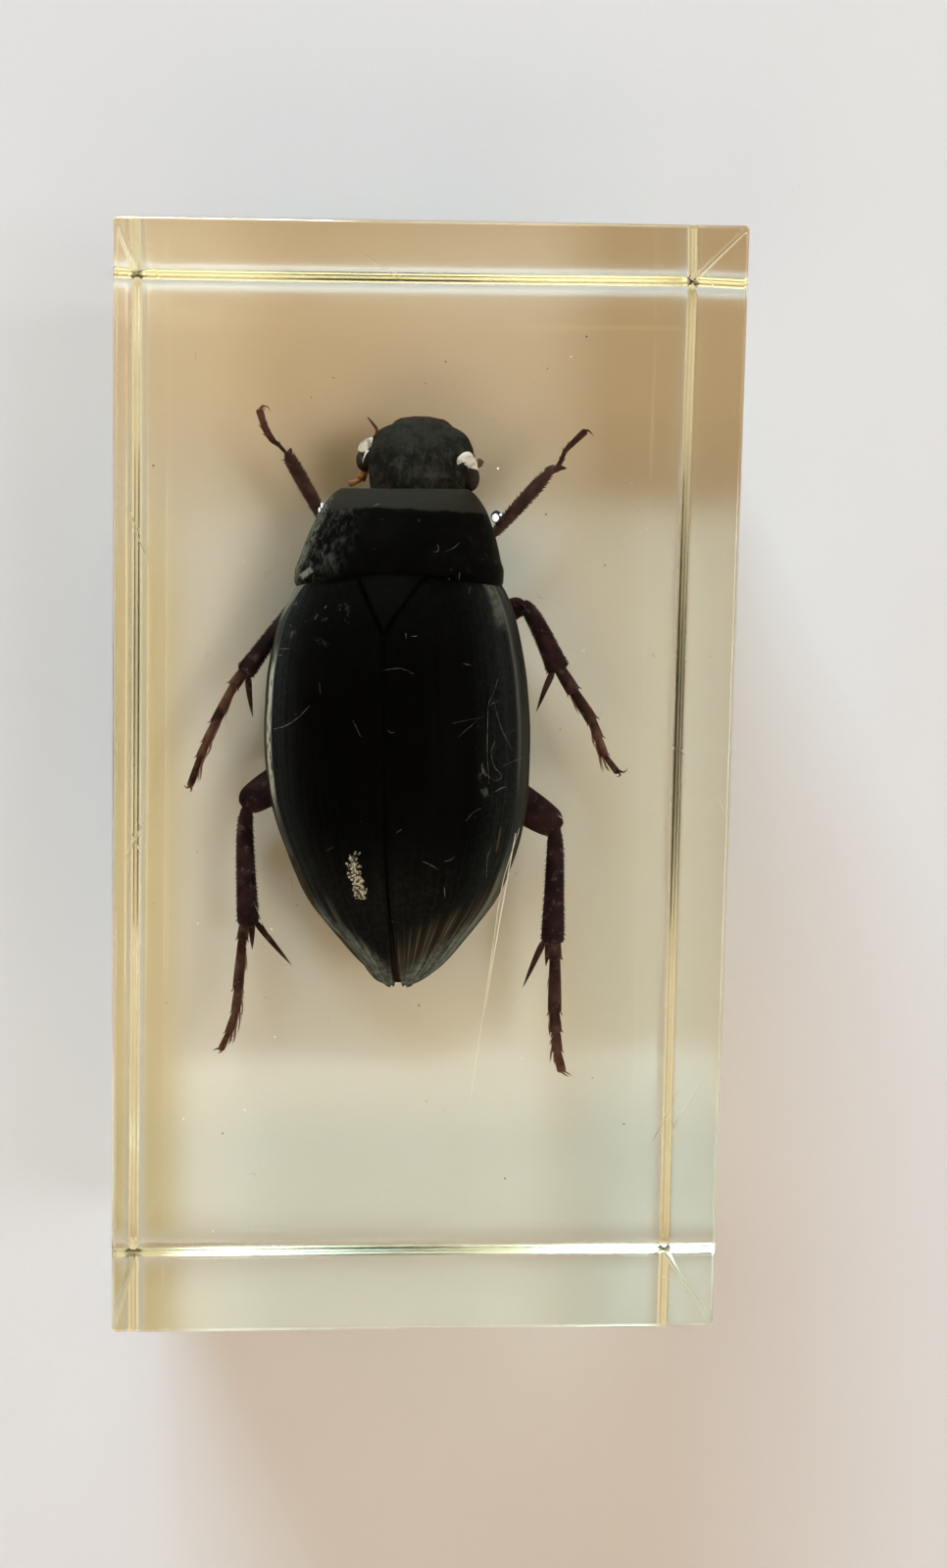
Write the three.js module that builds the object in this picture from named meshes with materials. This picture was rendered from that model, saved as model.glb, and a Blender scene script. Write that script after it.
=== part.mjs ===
// An insect cast in a clear resin block. The block is the one piece that can be
// handled: a hand-finished slab, a little out of square, with its edges broken round.
// Millimetres, +Z up, +Y towards the insect's head, origin in the middle of the underside.

import * as THREE from 'three';
import { RoundedBoxGeometry } from 'three/addons/geometries/RoundedBoxGeometry.js';

// Driving dimensions
const LENGTH = 74; // head to tail, along Y, at the block's middle
const WIDTH = 41.2; // left to right, along X, at the block's middle
const HEIGHT = 22; // underside to top face
const EDGE_RADIUS = 0.5; // the polished rounding of every edge
const EDGE_STEPS = 4; // facets on that rounding, on each side of its middle
const LEAN = 0.5; // how far the top face stands towards +X of the underside

// How far each side face is turned out of square, in degrees about +Z
const LEFT_TURN = -0.5;
const RIGHT_TURN = -0.1;
const HEAD_TURN = 0.9;
const TAIL_TURN = -0.3;

// A side face's outline seen from above: the line of points p with normal . p = distance.
function sideLine(normalX, normalY, distance, turn) {
  const normal = new THREE.Vector2(normalX, normalY);
  normal.rotateAround(new THREE.Vector2(), THREE.MathUtils.degToRad(turn));
  return { normal, distance };
}

// The corner where two side lines cross.
function crossing(a, b) {
  const turn = a.normal.cross(b.normal);
  return new THREE.Vector2(
    (a.distance * b.normal.y - b.distance * a.normal.y) / turn,
    (b.distance * a.normal.x - a.distance * b.normal.x) / turn,
  );
}

// The block's four corners from above, with their box centred on the origin.
function outlineCorners() {
  const left = sideLine(-1, 0, WIDTH / 2, LEFT_TURN);
  const right = sideLine(1, 0, WIDTH / 2, RIGHT_TURN);
  const head = sideLine(0, 1, LENGTH / 2, HEAD_TURN);
  const tail = sideLine(0, -1, LENGTH / 2, TAIL_TURN);
  const corners = {
    tailLeft: crossing(left, tail),
    tailRight: crossing(right, tail),
    headLeft: crossing(left, head),
    headRight: crossing(right, head),
  };
  const box = new THREE.Box2().setFromPoints(Object.values(corners));
  const middle = box.getCenter(new THREE.Vector2());
  for (const corner of Object.values(corners)) corner.sub(middle);
  return corners;
}

// A true box with round edges, then each point carried to its place between the four
// corners and leant over with its height. The top and the underside stay flat and level.
function blockGeometry() {
  const geometry = new RoundedBoxGeometry(WIDTH, LENGTH, HEIGHT, EDGE_STEPS, EDGE_RADIUS);
  const { tailLeft, tailRight, headLeft, headRight } = outlineCorners();
  const points = geometry.attributes.position;
  for (let i = 0; i < points.count; i += 1) {
    const across = points.getX(i) / WIDTH + 0.5;
    const along = points.getY(i) / LENGTH + 0.5;
    const height = points.getZ(i) / HEIGHT;
    const tail = tailLeft.clone().lerp(tailRight, across);
    const head = headLeft.clone().lerp(headRight, across);
    const place = tail.lerp(head, along);
    points.setXYZ(i, place.x + LEAN * height, place.y, (height + 0.5) * HEIGHT);
  }
  geometry.computeVertexNormals();
  return geometry;
}

const resin = new THREE.MeshStandardMaterial({
  name: 'clear_resin',
  color: 0xe3d9b4,
  roughness: 0.04,
  metalness: 0,
  transparent: true,
  opacity: 0.35,
});

const block = new THREE.Mesh(blockGeometry(), resin);
block.name = 'resin_block';

const group = new THREE.Group();
group.add(block);

export default group;
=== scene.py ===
"""A large black water scavenger beetle cast in a clear resin block.

Sizes below are in millimetres, in the block's own frame: +Z up, +Y towards the beetle's
head, origin in the middle of the underside. Pieces are modelled in millimetres and brought
to metres when they are finished.
"""

import math
import random
from bisect import bisect_right

import bpy
from mathutils import Matrix, Vector, noise


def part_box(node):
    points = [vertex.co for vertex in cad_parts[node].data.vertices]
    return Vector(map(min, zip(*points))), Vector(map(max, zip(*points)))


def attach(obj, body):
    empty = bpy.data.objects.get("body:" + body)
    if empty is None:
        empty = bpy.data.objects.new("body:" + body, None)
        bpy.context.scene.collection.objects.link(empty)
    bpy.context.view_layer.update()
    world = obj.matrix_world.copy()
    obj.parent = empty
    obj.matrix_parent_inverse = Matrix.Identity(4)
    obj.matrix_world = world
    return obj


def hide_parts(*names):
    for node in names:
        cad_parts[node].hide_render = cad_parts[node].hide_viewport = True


bl_info = {
    "name": "Insect in resin block",
    "version": (1, 0, 0),
    "blender": (4, 5, 0),
    "location": "3D View > Sidebar > Resin beetle",
    "description": "Builds a beetle cast in clear resin, with the air, lint and dust cast in beside it",
    "category": "Add Mesh",
}

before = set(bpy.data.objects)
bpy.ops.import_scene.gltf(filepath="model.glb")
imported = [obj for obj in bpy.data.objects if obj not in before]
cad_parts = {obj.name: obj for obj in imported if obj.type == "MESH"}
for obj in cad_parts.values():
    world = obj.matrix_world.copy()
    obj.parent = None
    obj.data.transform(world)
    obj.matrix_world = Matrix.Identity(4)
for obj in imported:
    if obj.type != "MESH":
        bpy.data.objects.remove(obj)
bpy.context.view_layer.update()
MM = 0.001

# The block: its box comes from the frame, and these say how it is out of square.
BLOCK_LOW, BLOCK_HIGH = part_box("resin_block")
BLOCK_WIDTH = 41.2
BLOCK_LENGTH = 74
BLOCK_HEIGHT = (BLOCK_HIGH.z - BLOCK_LOW.z) / MM
BLOCK_LEAN = 0.5
LEFT_TURN, RIGHT_TURN, HEAD_TURN, TAIL_TURN = -0.5, -0.1, 0.9, -0.3

# Where the beetle's three joined sections lie. Roll and yaw are in degrees, and the fore
# body leans sideways as it goes forward.
HIND_PLACE, HIND_ROLL, HIND_YAW = (-1.25, 0, 10.2), -10, 0.95
THORAX_PLACE, THORAX_ROLL, THORAX_LEAN = (-1.3, 14.0, 10.2), -8, 0.065
HEAD_PLACE, HEAD_ROLL, HEAD_YAW, HEAD_PITCH = (0.05, 20.8, 10.3), -7, -1.5, -6

# The hind body in its own frame: half widths and heights along Y.
TAIL_Y, SHOULDER_Y = -14.75, 15.1
HALF_WIDTH = [
    (-14.75, 0.6), (-14.7, 0.95), (-14.55, 1.38), (-14.3, 1.85), (-13.95, 2.3), (-13.45, 2.9),
    (-12.9, 3.47), (-12.4, 3.93), (-11.45, 4.72), (-10.0, 5.9), (-8.6, 6.95), (-7.2, 7.68), (-3.6, 8.9),
    (-0.1, 9.4), (3.4, 9.5), (6.9, 9.3), (10.4, 8.75), (12.3, 8.25), (13.6, 7.7), (14.4, 7.15),
    (15.1, 6.6),
]
LEFT_TRIM = [
    (-14.75, 0), (-14.4, 0.08), (-13.9, 0.32), (-13.0, 0.76), (-11.6, 0.8), (-10.0, 0.62), (-7.3, 0.7),
    (-5.9, 0.66), (-4.4, 0.54), (-3.0, 0.37), (-0.2, 0.12), (3.0, 0), (7.5, 0), (11.5, 0.15),
    (12.4, 0.32), (13.3, 0.42), (15.1, 0.42),
]
BACK_HEIGHT = [
    (-14.75, 0.12), (-14.3, 0.75), (-13.0, 1.85), (-10.0, 3.6), (-5.0, 5.5), (0.0, 6.35), (5.0, 6.5),
    (10.0, 6.1), (13.5, 5.5), (14.6, 5.1), (15.1, 4.7),
]
BELLY_DEPTH = [
    (-14.8, 0.25), (-14.0, 0.85), (-12.0, 1.75), (-9.0, 2.75), (-5.0, 3.75), (0.0, 4.4), (5.0, 4.7),
    (10.0, 4.6), (14.0, 4.0), (15.0, 3.5),
]
SUTURE_GAP = [
    (-14.75, 0.5), (-14.65, 0.36), (-14.4, 0.25), (-14.1, 0.22), (-13.0, 0.16), (-11.2, 0.08),
    (-9.8, 0.02), (-9.0, 0.0), (15.1, 0.0),
]


# The scutellum in the same frame: half width, front end, tip and sideways lean.
SCUTELLUM_HALF, SCUTELLUM_FRONT, SCUTELLUM_TIP, SCUTELLUM_LEAN = 2.45, 14.9, 10.75, 0.12


# ---------------------------------------------------------------- lines and places


def curve(knots):
    """A smooth line through (place, value) knots that never overshoots them."""
    places, values = zip(*knots)
    slopes = [(values[i + 1] - values[i]) / (places[i + 1] - places[i]) for i in range(len(knots) - 1)]
    middle = [2 * a * b / (a + b) if a * b > 0 else 0.0 for a, b in zip(slopes, slopes[1:])]
    tangents = [slopes[0], *middle, slopes[-1]]

    def value(place):
        i = min(max(bisect_right(places, place) - 1, 0), len(knots) - 2)
        span = places[i + 1] - places[i]
        t = min(max((place - places[i]) / span, 0.0), 1.0)
        rise = values[i + 1] - values[i]
        bend = (tangents[i] + tangents[i + 1]) * span - 2 * rise
        swing = 3 * rise - (2 * tangents[i] + tangents[i + 1]) * span
        return values[i] + t * (tangents[i] * span + t * (swing + t * bend))

    return value


def points(rows):
    """Rows of three numbers as points in space."""
    return [Vector(row) for row in rows]


def path(rows):
    """A smooth line through points in space, as a function of 0 to 1 along its length."""
    line = points(rows)
    far = [0.0]
    for a, b in zip(line, line[1:]):
        far.append(far[-1] + (b - a).length)
    axes = [curve([(d / far[-1], p[axis]) for d, p in zip(far, line)]) for axis in range(3)]
    return lambda t: Vector([axis(t) for axis in axes])


def pose(place, roll=0.0, yaw=0.0, pitch=0.0):
    """The matrix that sets a section of the beetle down at its place, turned."""
    turned = Matrix.Rotation(math.radians(yaw), 4, "Z") @ Matrix.Rotation(math.radians(roll), 4, "Y")
    return Matrix.Translation(place) @ turned @ Matrix.Rotation(math.radians(pitch), 4, "X")


def smooth(low, high, value):
    """0 below low, 1 above high, and a smooth rise between them."""
    t = min(max((value - low) / (high - low), 0.0), 1.0)
    return t * t * (3 - 2 * t)


def signed_power(value, power):
    """A power that keeps the sign, for rounded-square sections."""
    return math.copysign(abs(value) ** power, value)


HIND = pose(HIND_PLACE, HIND_ROLL, HIND_YAW)
THORAX = pose(THORAX_PLACE, THORAX_ROLL)
THORAX[0][1] = THORAX_LEAN
HEAD = pose(HEAD_PLACE, HEAD_ROLL, HEAD_YAW, HEAD_PITCH)

half_width = curve(HALF_WIDTH)
back_height = curve(BACK_HEIGHT)
belly_depth = curve(BELLY_DEPTH)
suture_gap = curve(SUTURE_GAP)
left_trim = curve(LEFT_TRIM)


# ---------------------------------------------------------------- modelling


MERGE_DISTANCE = 0.0005
UP = Vector((0, 0, 1))


def select_only(thing):
    """Selects one thing alone and makes it the active one."""
    bpy.ops.object.select_all(action="DESELECT")
    thing.select_set(True)
    bpy.context.view_layer.objects.active = thing


def start(add, **settings):
    """Adds one primitive with nothing else selected, and returns it."""
    bpy.ops.object.select_all(action="DESELECT")
    add(**settings)
    return bpy.context.active_object


def editing(thing, *steps, everything=True):
    """Runs edit mode steps on all of one thing's faces, or on those already selected."""
    select_only(thing)
    bpy.ops.object.mode_set(mode="EDIT")
    if everything:
        bpy.ops.mesh.select_all(action="SELECT")
    for step in steps:
        step()
    bpy.ops.object.mode_set(mode="OBJECT")


def outward():
    """Merges doubled points and turns every face outward."""
    bpy.ops.mesh.remove_doubles(threshold=MERGE_DISTANCE)
    bpy.ops.mesh.normals_make_consistent(inside=False)


def cut_faces(thing, unwanted):
    """Deletes the faces that unwanted picks by their middles."""
    editing(thing, lambda: bpy.ops.mesh.select_all(action="DESELECT"))
    for face in thing.data.polygons:
        face.select = unwanted(face.center)
    editing(thing, lambda: bpy.ops.mesh.delete(type="FACE"), everything=False)


def copy_of(thing, name="copy"):
    """A copy with its own mesh."""
    twin = thing.copy()
    twin.data = thing.data.copy()
    twin.name = name
    bpy.context.scene.collection.objects.link(twin)
    return twin


def discard(thing):
    """Removes a pattern that copies were taken from."""
    mesh = thing.data
    bpy.data.objects.remove(thing)
    bpy.data.meshes.remove(mesh)


def carry(thing, place):
    """Moves each of a thing's points to where place says."""
    for vertex in thing.data.vertices:
        vertex.co = place(vertex.co)
    return thing


def sheet(columns, rows):
    """A flat sheet from -1 to 1 both ways, cut in columns and rows."""
    return start(bpy.ops.mesh.primitive_grid_add, x_subdivisions=columns, y_subdivisions=rows, size=2)


def rod(sides, steps):
    """A unit rod, from z 0 to z 1: a disc pulled up in equal steps."""
    thing = start(bpy.ops.mesh.primitive_circle_add, vertices=sides, radius=1, fill_type="NGON")
    pull = {"value": (0, 0, 1 / steps)}
    steps_up = [lambda: bpy.ops.mesh.extrude_region_move(TRANSFORM_OT_translate=pull)] * steps
    editing(thing, *steps_up, lambda: bpy.ops.mesh.select_all(action="SELECT"), outward)
    return thing


class Rods:
    """Rods modelled once for each number of sides and steps, and copied."""

    made = {}

    @classmethod
    def new(cls, sides, steps):
        """A fresh copy of one kind of rod."""
        if (sides, steps) not in cls.made:
            cls.made[sides, steps] = rod(sides, steps)
        return copy_of(cls.made[sides, steps])

    @classmethod
    def clear(cls):
        """Removes the rods that copies were taken from."""
        for thing in cls.made.values():
            discard(thing)
        cls.made.clear()


def limb(spine, breadth, depth=None, sides=14, steps=14):
    """A closed limb round a smooth spine. Breadth and depth are half sizes along it."""
    centre = path(spine)
    broad = curve(breadth)
    deep = curve(depth or breadth)
    near = 0.02  # how far before and behind a point its direction is taken

    def place(co):
        ahead = (centre(min(co.z + near, 1)) - centre(max(co.z - near, 0))).normalized()
        side = ahead.cross(UP).normalized()
        return centre(co.z) + side * co.x * broad(co.z) + side.cross(ahead) * co.y * deep(co.z)

    return carry(Rods.new(sides, steps), place)


def join(name, things):
    """Joins closed shapes in one mesh."""
    bpy.ops.object.select_all(action="DESELECT")
    for thing in things:
        thing.select_set(True)
    bpy.context.view_layer.objects.active = things[0]
    if len(things) > 1:
        bpy.ops.object.join()
    things[0].name = name
    return things[0]


def modify(thing, kind, **settings):
    """Adds a modifier and applies it."""
    select_only(thing)
    modifier = thing.modifiers.new(kind.title(), kind)
    for key, value in settings.items():
        setattr(modifier, key, value)
    bpy.ops.object.modifier_apply(modifier=modifier.name)


def finish_piece(thing, name, material, smooth_angle=40, closed=True):
    """Names a piece, turns its faces out, smooths it, brings it to metres and lets it ride."""
    thing.name = name
    thing.data.name = name
    if closed:
        editing(thing, lambda: bpy.ops.mesh.normals_make_consistent(inside=False))
    select_only(thing)
    if smooth_angle:
        bpy.ops.object.shade_smooth_by_angle(angle=math.radians(smooth_angle))
    thing.data.transform(Matrix.Scale(MM, 4))
    thing.data.materials.clear()
    thing.data.materials.append(material)
    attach(thing, "root")
    return thing


def finish_parts(parts, name, material):
    """Joins closed parts and finishes them as one piece."""
    finish_piece(join(name, parts), name, material)


# ---------------------------------------------------------------- shader maths


class Wire:
    """One output of a material's nodes. Sums on wires add Math nodes."""

    def __init__(self, socket):
        self.socket = socket

    @property
    def tree(self):
        """The node tree that the wire runs in."""
        return self.socket.id_data

    def maths(self, operation, *values):
        """A Math node on wires and plain numbers."""
        node = self.tree.nodes.new("ShaderNodeMath")
        node.operation = operation
        for slot, value in zip(node.inputs, values):
            plug(slot, value)
        return Wire(node.outputs[0])

    def __add__(self, other):
        return self.maths("ADD", self, other)

    def __sub__(self, other):
        return self.maths("SUBTRACT", self, other)

    def __rsub__(self, other):
        return self.maths("SUBTRACT", other, self)

    def __mul__(self, other):
        return self.maths("MULTIPLY", self, other)

    __radd__ = __add__
    __rmul__ = __mul__

    def absolute(self):
        """The wire without its sign."""
        return self.maths("ABSOLUTE", self)

    def larger(self, other):
        """The larger of two values."""
        return self.maths("MAXIMUM", self, other)

    def smaller(self, other):
        """The smaller of two values."""
        return self.maths("MINIMUM", self, other)


def plug(slot, value):
    """Gives a socket a wire or a plain value."""
    if isinstance(value, Wire):
        slot.id_data.links.new(value.socket, slot)
    elif isinstance(value, tuple) and len(value) == 3 and slot.type == "RGBA":
        slot.default_value = (*value, 1)
    else:
        slot.default_value = value


class Finish:
    """A material being mixed: a Principled shader and the nodes that feed it."""

    def __init__(self, name):
        self.material = bpy.data.materials.new(name)
        self.material.use_nodes = True
        self.tree = self.material.node_tree
        self.tree.nodes.clear()
        self.output = self.tree.nodes.new("ShaderNodeOutputMaterial")
        self.coordinates = self.tree.nodes.new("ShaderNodeTexCoord")

    @property
    def place(self):
        """The point's place on the finished object."""
        return Wire(self.coordinates.outputs["Object"])

    @property
    def sheet(self):
        """The point's place on the flat sheet that the piece was made from."""
        return Wire(self.coordinates.outputs["UV"])

    def node(self, kind, settings=(), **inputs):
        """Any node: its settings first, then its sockets by name. Gives its first output."""
        node = self.tree.nodes.new("ShaderNode" + kind)
        for key, value in dict(settings).items():
            setattr(node, key, value)
        for key, value in inputs.items():
            plug(node.inputs[key.replace("_", " ")], value)
        return Wire(node.outputs[0])

    def noise(self, vector, scale, detail=2.0, roughness=0.5):
        """Cloudy noise, 0 to 1."""
        return self.node("TexNoise", Vector=vector, Scale=scale, Detail=detail, Roughness=roughness)

    def drawn(self, stretch, detail, roughness):
        """Noise drawn out in streaks along the sheet."""
        return self.noise(self.stretch(self.sheet, stretch), 1.0, detail, roughness)

    def rise(self, value, low, high):
        """0 below low, 1 above high, smooth between."""
        settings = {"interpolation_type": "SMOOTHSTEP", "clamp": True}
        return self.node("MapRange", settings, Value=value, From_Min=low, From_Max=high)

    def band(self, value, low, high, far_low, far_high):
        """A stripe: it rises with the value, and falls where 1 - value runs from far_high to far_low."""
        return self.rise(value, low, high) * self.rise(1 - value, far_low, far_high)

    def patches(self, scale, low, high, detail=2.0, roughness=0.5):
        """Noise sharpened to patches: 0 where it is below low, 1 where it is above high."""
        return self.rise(self.noise(self.place, scale, detail, roughness), low, high)

    def mix(self, factor, a, b):
        """One colour into another."""
        node = self.tree.nodes.new("ShaderNodeMix")
        node.data_type = "RGBA"
        for inlet, value in ((0, factor), (6, a), (7, b)):  # the colour sockets share their names
            plug(node.inputs[inlet], value)
        return Wire(node.outputs[2])

    def paint(self, colour, *coats):
        """Coats of (mask, colour) laid over a colour, one after another."""
        for mask, coat in coats:
            colour = self.mix(mask, colour, coat)
        return colour

    def split(self, vector):
        """The three parts of a vector."""
        node = self.tree.nodes.new("ShaderNodeSeparateXYZ")
        plug(node.inputs[0], vector)
        return [Wire(out) for out in node.outputs]

    def stretch(self, vector, scale):
        """A vector multiplied by a plain one, to stretch a pattern."""
        node = self.tree.nodes.new("ShaderNodeVectorMath")
        node.operation = "MULTIPLY"
        plug(node.inputs[0], vector)
        node.inputs[1].default_value = scale
        return Wire(node.outputs[0])

    def bump(self, height, distance, strength=1.0):
        """Surface relief, as a normal."""
        return self.node("Bump", Height=height, Distance=distance, Strength=strength)

    def surface(self, **inputs):
        """The Principled shader, by its socket names."""
        shader = self.node("BsdfPrincipled", **inputs)
        self.tree.links.new(shader.socket, self.output.inputs["Surface"])
        return self.material


# ---------------------------------------------------------------- finishes


HAIRLINES = ((0.5, 2600), (2.1, 2000), (2.7, 3400))  # sets of scratches: turn and scale
# painted shade: near black painted into the suture seam and the groove round the scutellum; GROOVE_WIDTH
# and GROOVE_SOFTNESS size that groove shade
PAINTED_SEAM_SHADE = (0.0002, 0.0002, 0.0002)
GROOVE_WIDTH, GROOVE_SOFTNESS = 0.24, 0.06
PAPER_REACH = (0.0206, 0.0368)  # half width and length of the paper under the block, where the block's light and shade are painted


def clear_resin(look):
    """Cast resin: see-through, a little yellow in the thick, with faint scratches and ripples."""
    finish = Finish("clear_resin")
    ripple = finish.noise(finish.place, 55, 1)
    scratches = None
    for turn, scale in HAIRLINES:
        turned = finish.node("VectorRotate", {"rotation_type": "Z_AXIS"}, Vector=finish.place, Angle=turn)
        lines = finish.noise(finish.stretch(turned, (1, 0.02, 1)), scale, 0)
        fine = finish.rise(lines, 0.77, 0.83)
        scratches = fine if scratches is None else scratches.larger(fine)
    handled = finish.patches(120, 0.54, 0.66, 1)
    height = ripple * 0.25 - scratches * handled * (look.scratches * 0.2)
    _, _, up = finish.split(finish.place)
    ground = finish.rise(up, 0.00001, 0.00003) * finish.rise(look.foot_edge - up, 0.0, 0.00004)
    absorb = finish.node("VolumeAbsorption", Color=tuple(look.tint), Density=look.tint_density)
    finish.tree.links.new(absorb.socket, finish.output.inputs["Volume"])
    return finish.surface(
        Base_Color=(1, 1, 1),
        Roughness=ground * 0.2,
        IOR=look.ior,
        Transmission_Weight=1.0,
        Normal=finish.bump(height, 0.00004, 0.35),
    )


def scutellum_groove_shade(finish, inner=-0.03):
    """A mask of the painted shade in the fine groove round the scutellum, from its outline or just inside
    it.
    """
    places = finish.split(finish.place)
    back = HIND.inverted()
    x, y = (sum((p * (1000 * k) for p, k in zip(places, row[:3])), row[3]) for row in (back[0], back[1]))
    ahead = y - SCUTELLUM_TIP
    edge = ahead * (0.98 * SCUTELLUM_HALF / (SCUTELLUM_FRONT - SCUTELLUM_TIP)) + 0.02 * SCUTELLUM_HALF
    outside = (x - ahead * SCUTELLUM_LEAN).absolute() - edge
    groove = finish.rise(outside, inner, inner + GROOVE_SOFTNESS)
    groove = groove * finish.rise(GROOVE_WIDTH - outside, 0.0, GROOVE_SOFTNESS)
    return groove * finish.rise(ahead, -0.25, 0.0)


def elytron_cuticle(look):
    """Black wing case: painted grey sheen along its edge and its tail, painted shade in its seams, with
    ribs, a rim and fine drawn streaks.
    """
    finish = Finish("elytron_cuticle")
    across, along, _ = finish.split(finish.sheet)
    side, fore, _ = finish.split(finish.place)
    behind = 1 - along
    left = finish.rise(side * -1, 0.0006, 0.0022)
    right = 1 - left
    streaks = finish.drawn((110, 2.0, 1), 3, 0.6)
    fine = finish.drawn((320, 5.0, 1), 2, 0.6)
    cloud = finish.noise(finish.place, 260, 3, 0.6)
    wander = (cloud - 0.5) * 0.05

    # both sides turn grey towards the edge in drawn lines of painted sheen, and end in a rim
    drawn = finish.rise(streaks, 0.44, 0.58) * 0.65 + finish.rise(fine, 0.42, 0.6) * 0.45
    speckle = finish.patches(2700, 0.4, 0.64, 3, 0.72)
    front = finish.rise(fore, 0.0065, 0.0135)
    low = finish.rise(behind, 0.5, 0.72)
    low_sheen = low * (0.2 + drawn * 0.4 + speckle * 0.4)
    edge_sheen = finish.rise(across + wander, 0.33, 0.60) * (0.2 + drawn * 0.6 + speckle * 0.35)
    edge = finish.rise(across, 0.59, 0.625) * left
    edge = edge.larger(finish.rise(across, 0.655, 0.70) * right * (0.5 + low * 0.5))
    dull = (edge * (drawn + low * 0.45) * (0.5 + low * 0.5)).smaller(1.0)
    colour = finish.paint(
        tuple(look.black),
        (front * (0.35 + speckle * 0.65), (0.0036, 0.0041, 0.0038)),
        # painted sheen: faint grey low down, blue-grey towards the edges, grey drawn lines at the edge
        (low_sheen.smaller(1.0), (0.0135, 0.0148, 0.0145)),
        (edge_sheen.smaller(1.0), (0.019, 0.0232, 0.0255)),
        (dull, finish.mix(low, tuple(look.grey), (0.2, 0.212, 0.19))),
    )

    # the tail: brown-black ribs with thin pale lines of painted sheen, turning to a blotched blue-grey
    # painted sheen towards edge and tip
    lines = finish.rise(finish.drawn((44, 0.8, 1), 1, 0.5), 0.53, 0.6) * finish.rise(fine, 0.36, 0.52)
    ribs = finish.rise(finish.drawn((30, 0.9, 1), 2, 0.6), 0.43, 0.57)
    blotch = finish.patches(2300, 0.42, 0.6, 3, 0.72)
    end = finish.rise(behind, 0.8, 0.93)
    inner = finish.mix(ribs * 0.6 + end * 0.4, (0.022, 0.0175, 0.014), (0.062, 0.056, 0.044))
    inner = finish.mix(lines * 0.85, inner, (0.135, 0.128, 0.1))
    mottle = (ribs * 0.6 + blotch * 0.4).smaller(1.0)
    blue_grey_sheen = finish.mix(mottle, (0.03, 0.04, 0.044), (0.235, 0.262, 0.262))
    tail = finish.rise(behind + (across - 0.3) * 0.22 + wander, 0.715, 0.82)
    spread = finish.rise(across + (behind - 0.86) * 3.4 + wander, 0.22, 0.5)
    fringe = lines * low * finish.rise(across, 0.26, 0.4) * finish.rise(behind, 0.66, 0.76) * left
    tip = finish.rise(behind + (across - 0.3) * 0.36 + wander, 0.785, 0.885)

    # where the resin has let go of the left edge, the air's reflection is painted in as a thread of silver
    line = finish.band(across, 0.60, 0.635, 0.305, 0.325)
    run = finish.band(along, 0.46, 0.60, 0.13, 0.22)
    broken = finish.rise(finish.drawn((34, 22, 1), 3, 0.7), 0.36, 0.54)
    rim = finish.rise(across, 0.702, 0.72) * left * (1 - low)
    dark_line = finish.band(across, 0.565, 0.575, 0.40, 0.415) * left * (1 - low)

    # the right edge has a thin pale line of painted sheen, lower down a broader one, and a brown fold
    # outside it
    pale = finish.band(across, 0.675, 0.69, 0.27, 0.285)
    pale_sheen_run = finish.rise(along, 0.5, 0.66) * right * finish.rise(fine, 0.36, 0.56)
    low_sheen_line = finish.band(across, 0.665, 0.69, 0.235, 0.26)
    low_sheen_run = finish.rise(behind, 0.6, 0.72) * right * (0.45 + drawn * 0.5)
    fold = finish.rise(across, 0.842, 0.858) * right
    # painted shade: a near-black band along the suture, where shade falls between the wing cases
    seam = finish.rise(0.009 - across, 0.0, 0.003)
    scrape = finish.band(across, 0.566, 0.572, 0.412, 0.418) * right
    scrape = scrape * finish.rise(along, 0.415, 0.425) * finish.rise(behind, 0.52, 0.53)

    # a pale, thin shoulder of painted sheen on each side, old smears behind it and a little dust
    corner = finish.band(across, 0.56, 0.62, 0.27, 0.34) * right
    corner = corner * finish.rise(fore, 0.0106, 0.0122) * (0.4 + speckle * 0.5)
    shoulder_sheen = finish.rise(across + (fore - 0.0139) * 60, 0.55, 0.59)
    shoulder_sheen = shoulder_sheen * finish.rise(fore, 0.0113, 0.0122) * left
    smear = finish.patches(1100, 0.6, 0.7, 3, 0.65) * finish.rise(cloud, 0.42, 0.56)
    near_left = finish.rise(side * -1, 0.004, 0.007) * finish.rise(fore, 0.0085, 0.0125)
    near_right = finish.rise(side, 0.003, 0.006) * finish.rise(fore * -1, -0.006, -0.001)
    near_right = near_right * finish.rise(fore, -0.006, -0.002)
    dust = finish.patches(1900, 0.75, 0.8, 1) * finish.rise(cloud, 0.5, 0.66)
    colour = finish.paint(
        colour,
        # painted sheen over the tail, its pale lines and its tip
        (tail * right * 0.95, finish.mix(spread, inner, blue_grey_sheen)),
        (fringe * 0.9, (0.1, 0.108, 0.096)),
        (tip * left * 0.92, blue_grey_sheen),
        # painted reflection: the silver thread of air along the left edge
        (line * run * left * broken, (0.62, 0.62, 0.53)),
        (rim, (0.011, 0.013, 0.013)),
        (dark_line * 0.7, (0.003, 0.0035, 0.0045)),
        # painted sheen: the pale lines along the right edge
        (pale * pale_sheen_run * 0.6, (0.19, 0.2, 0.19)),
        ((low_sheen_line * low_sheen_run).smaller(1.0), (0.26, 0.272, 0.235)),
        (fold * (0.35 + streaks * 0.8), (0.06, 0.045, 0.027)),
        # painted shade in the suture seam and in the groove round the scutellum
        (seam.larger(scutellum_groove_shade(finish)), PAINTED_SEAM_SHADE),
        (scrape * 0.9, (0.085, 0.062, 0.035)),
        # painted sheen on both shoulders
        (corner, (0.15, 0.155, 0.125)),
        (shoulder_sheen * (0.3 + drawn * 0.6).smaller(1.0), (0.34, 0.33, 0.27)),
        (smear * near_left.larger(near_right) * 0.9, (0.12, 0.124, 0.11)),
        (dust * 0.3, (0.09, 0.09, 0.085)),
    )
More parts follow.
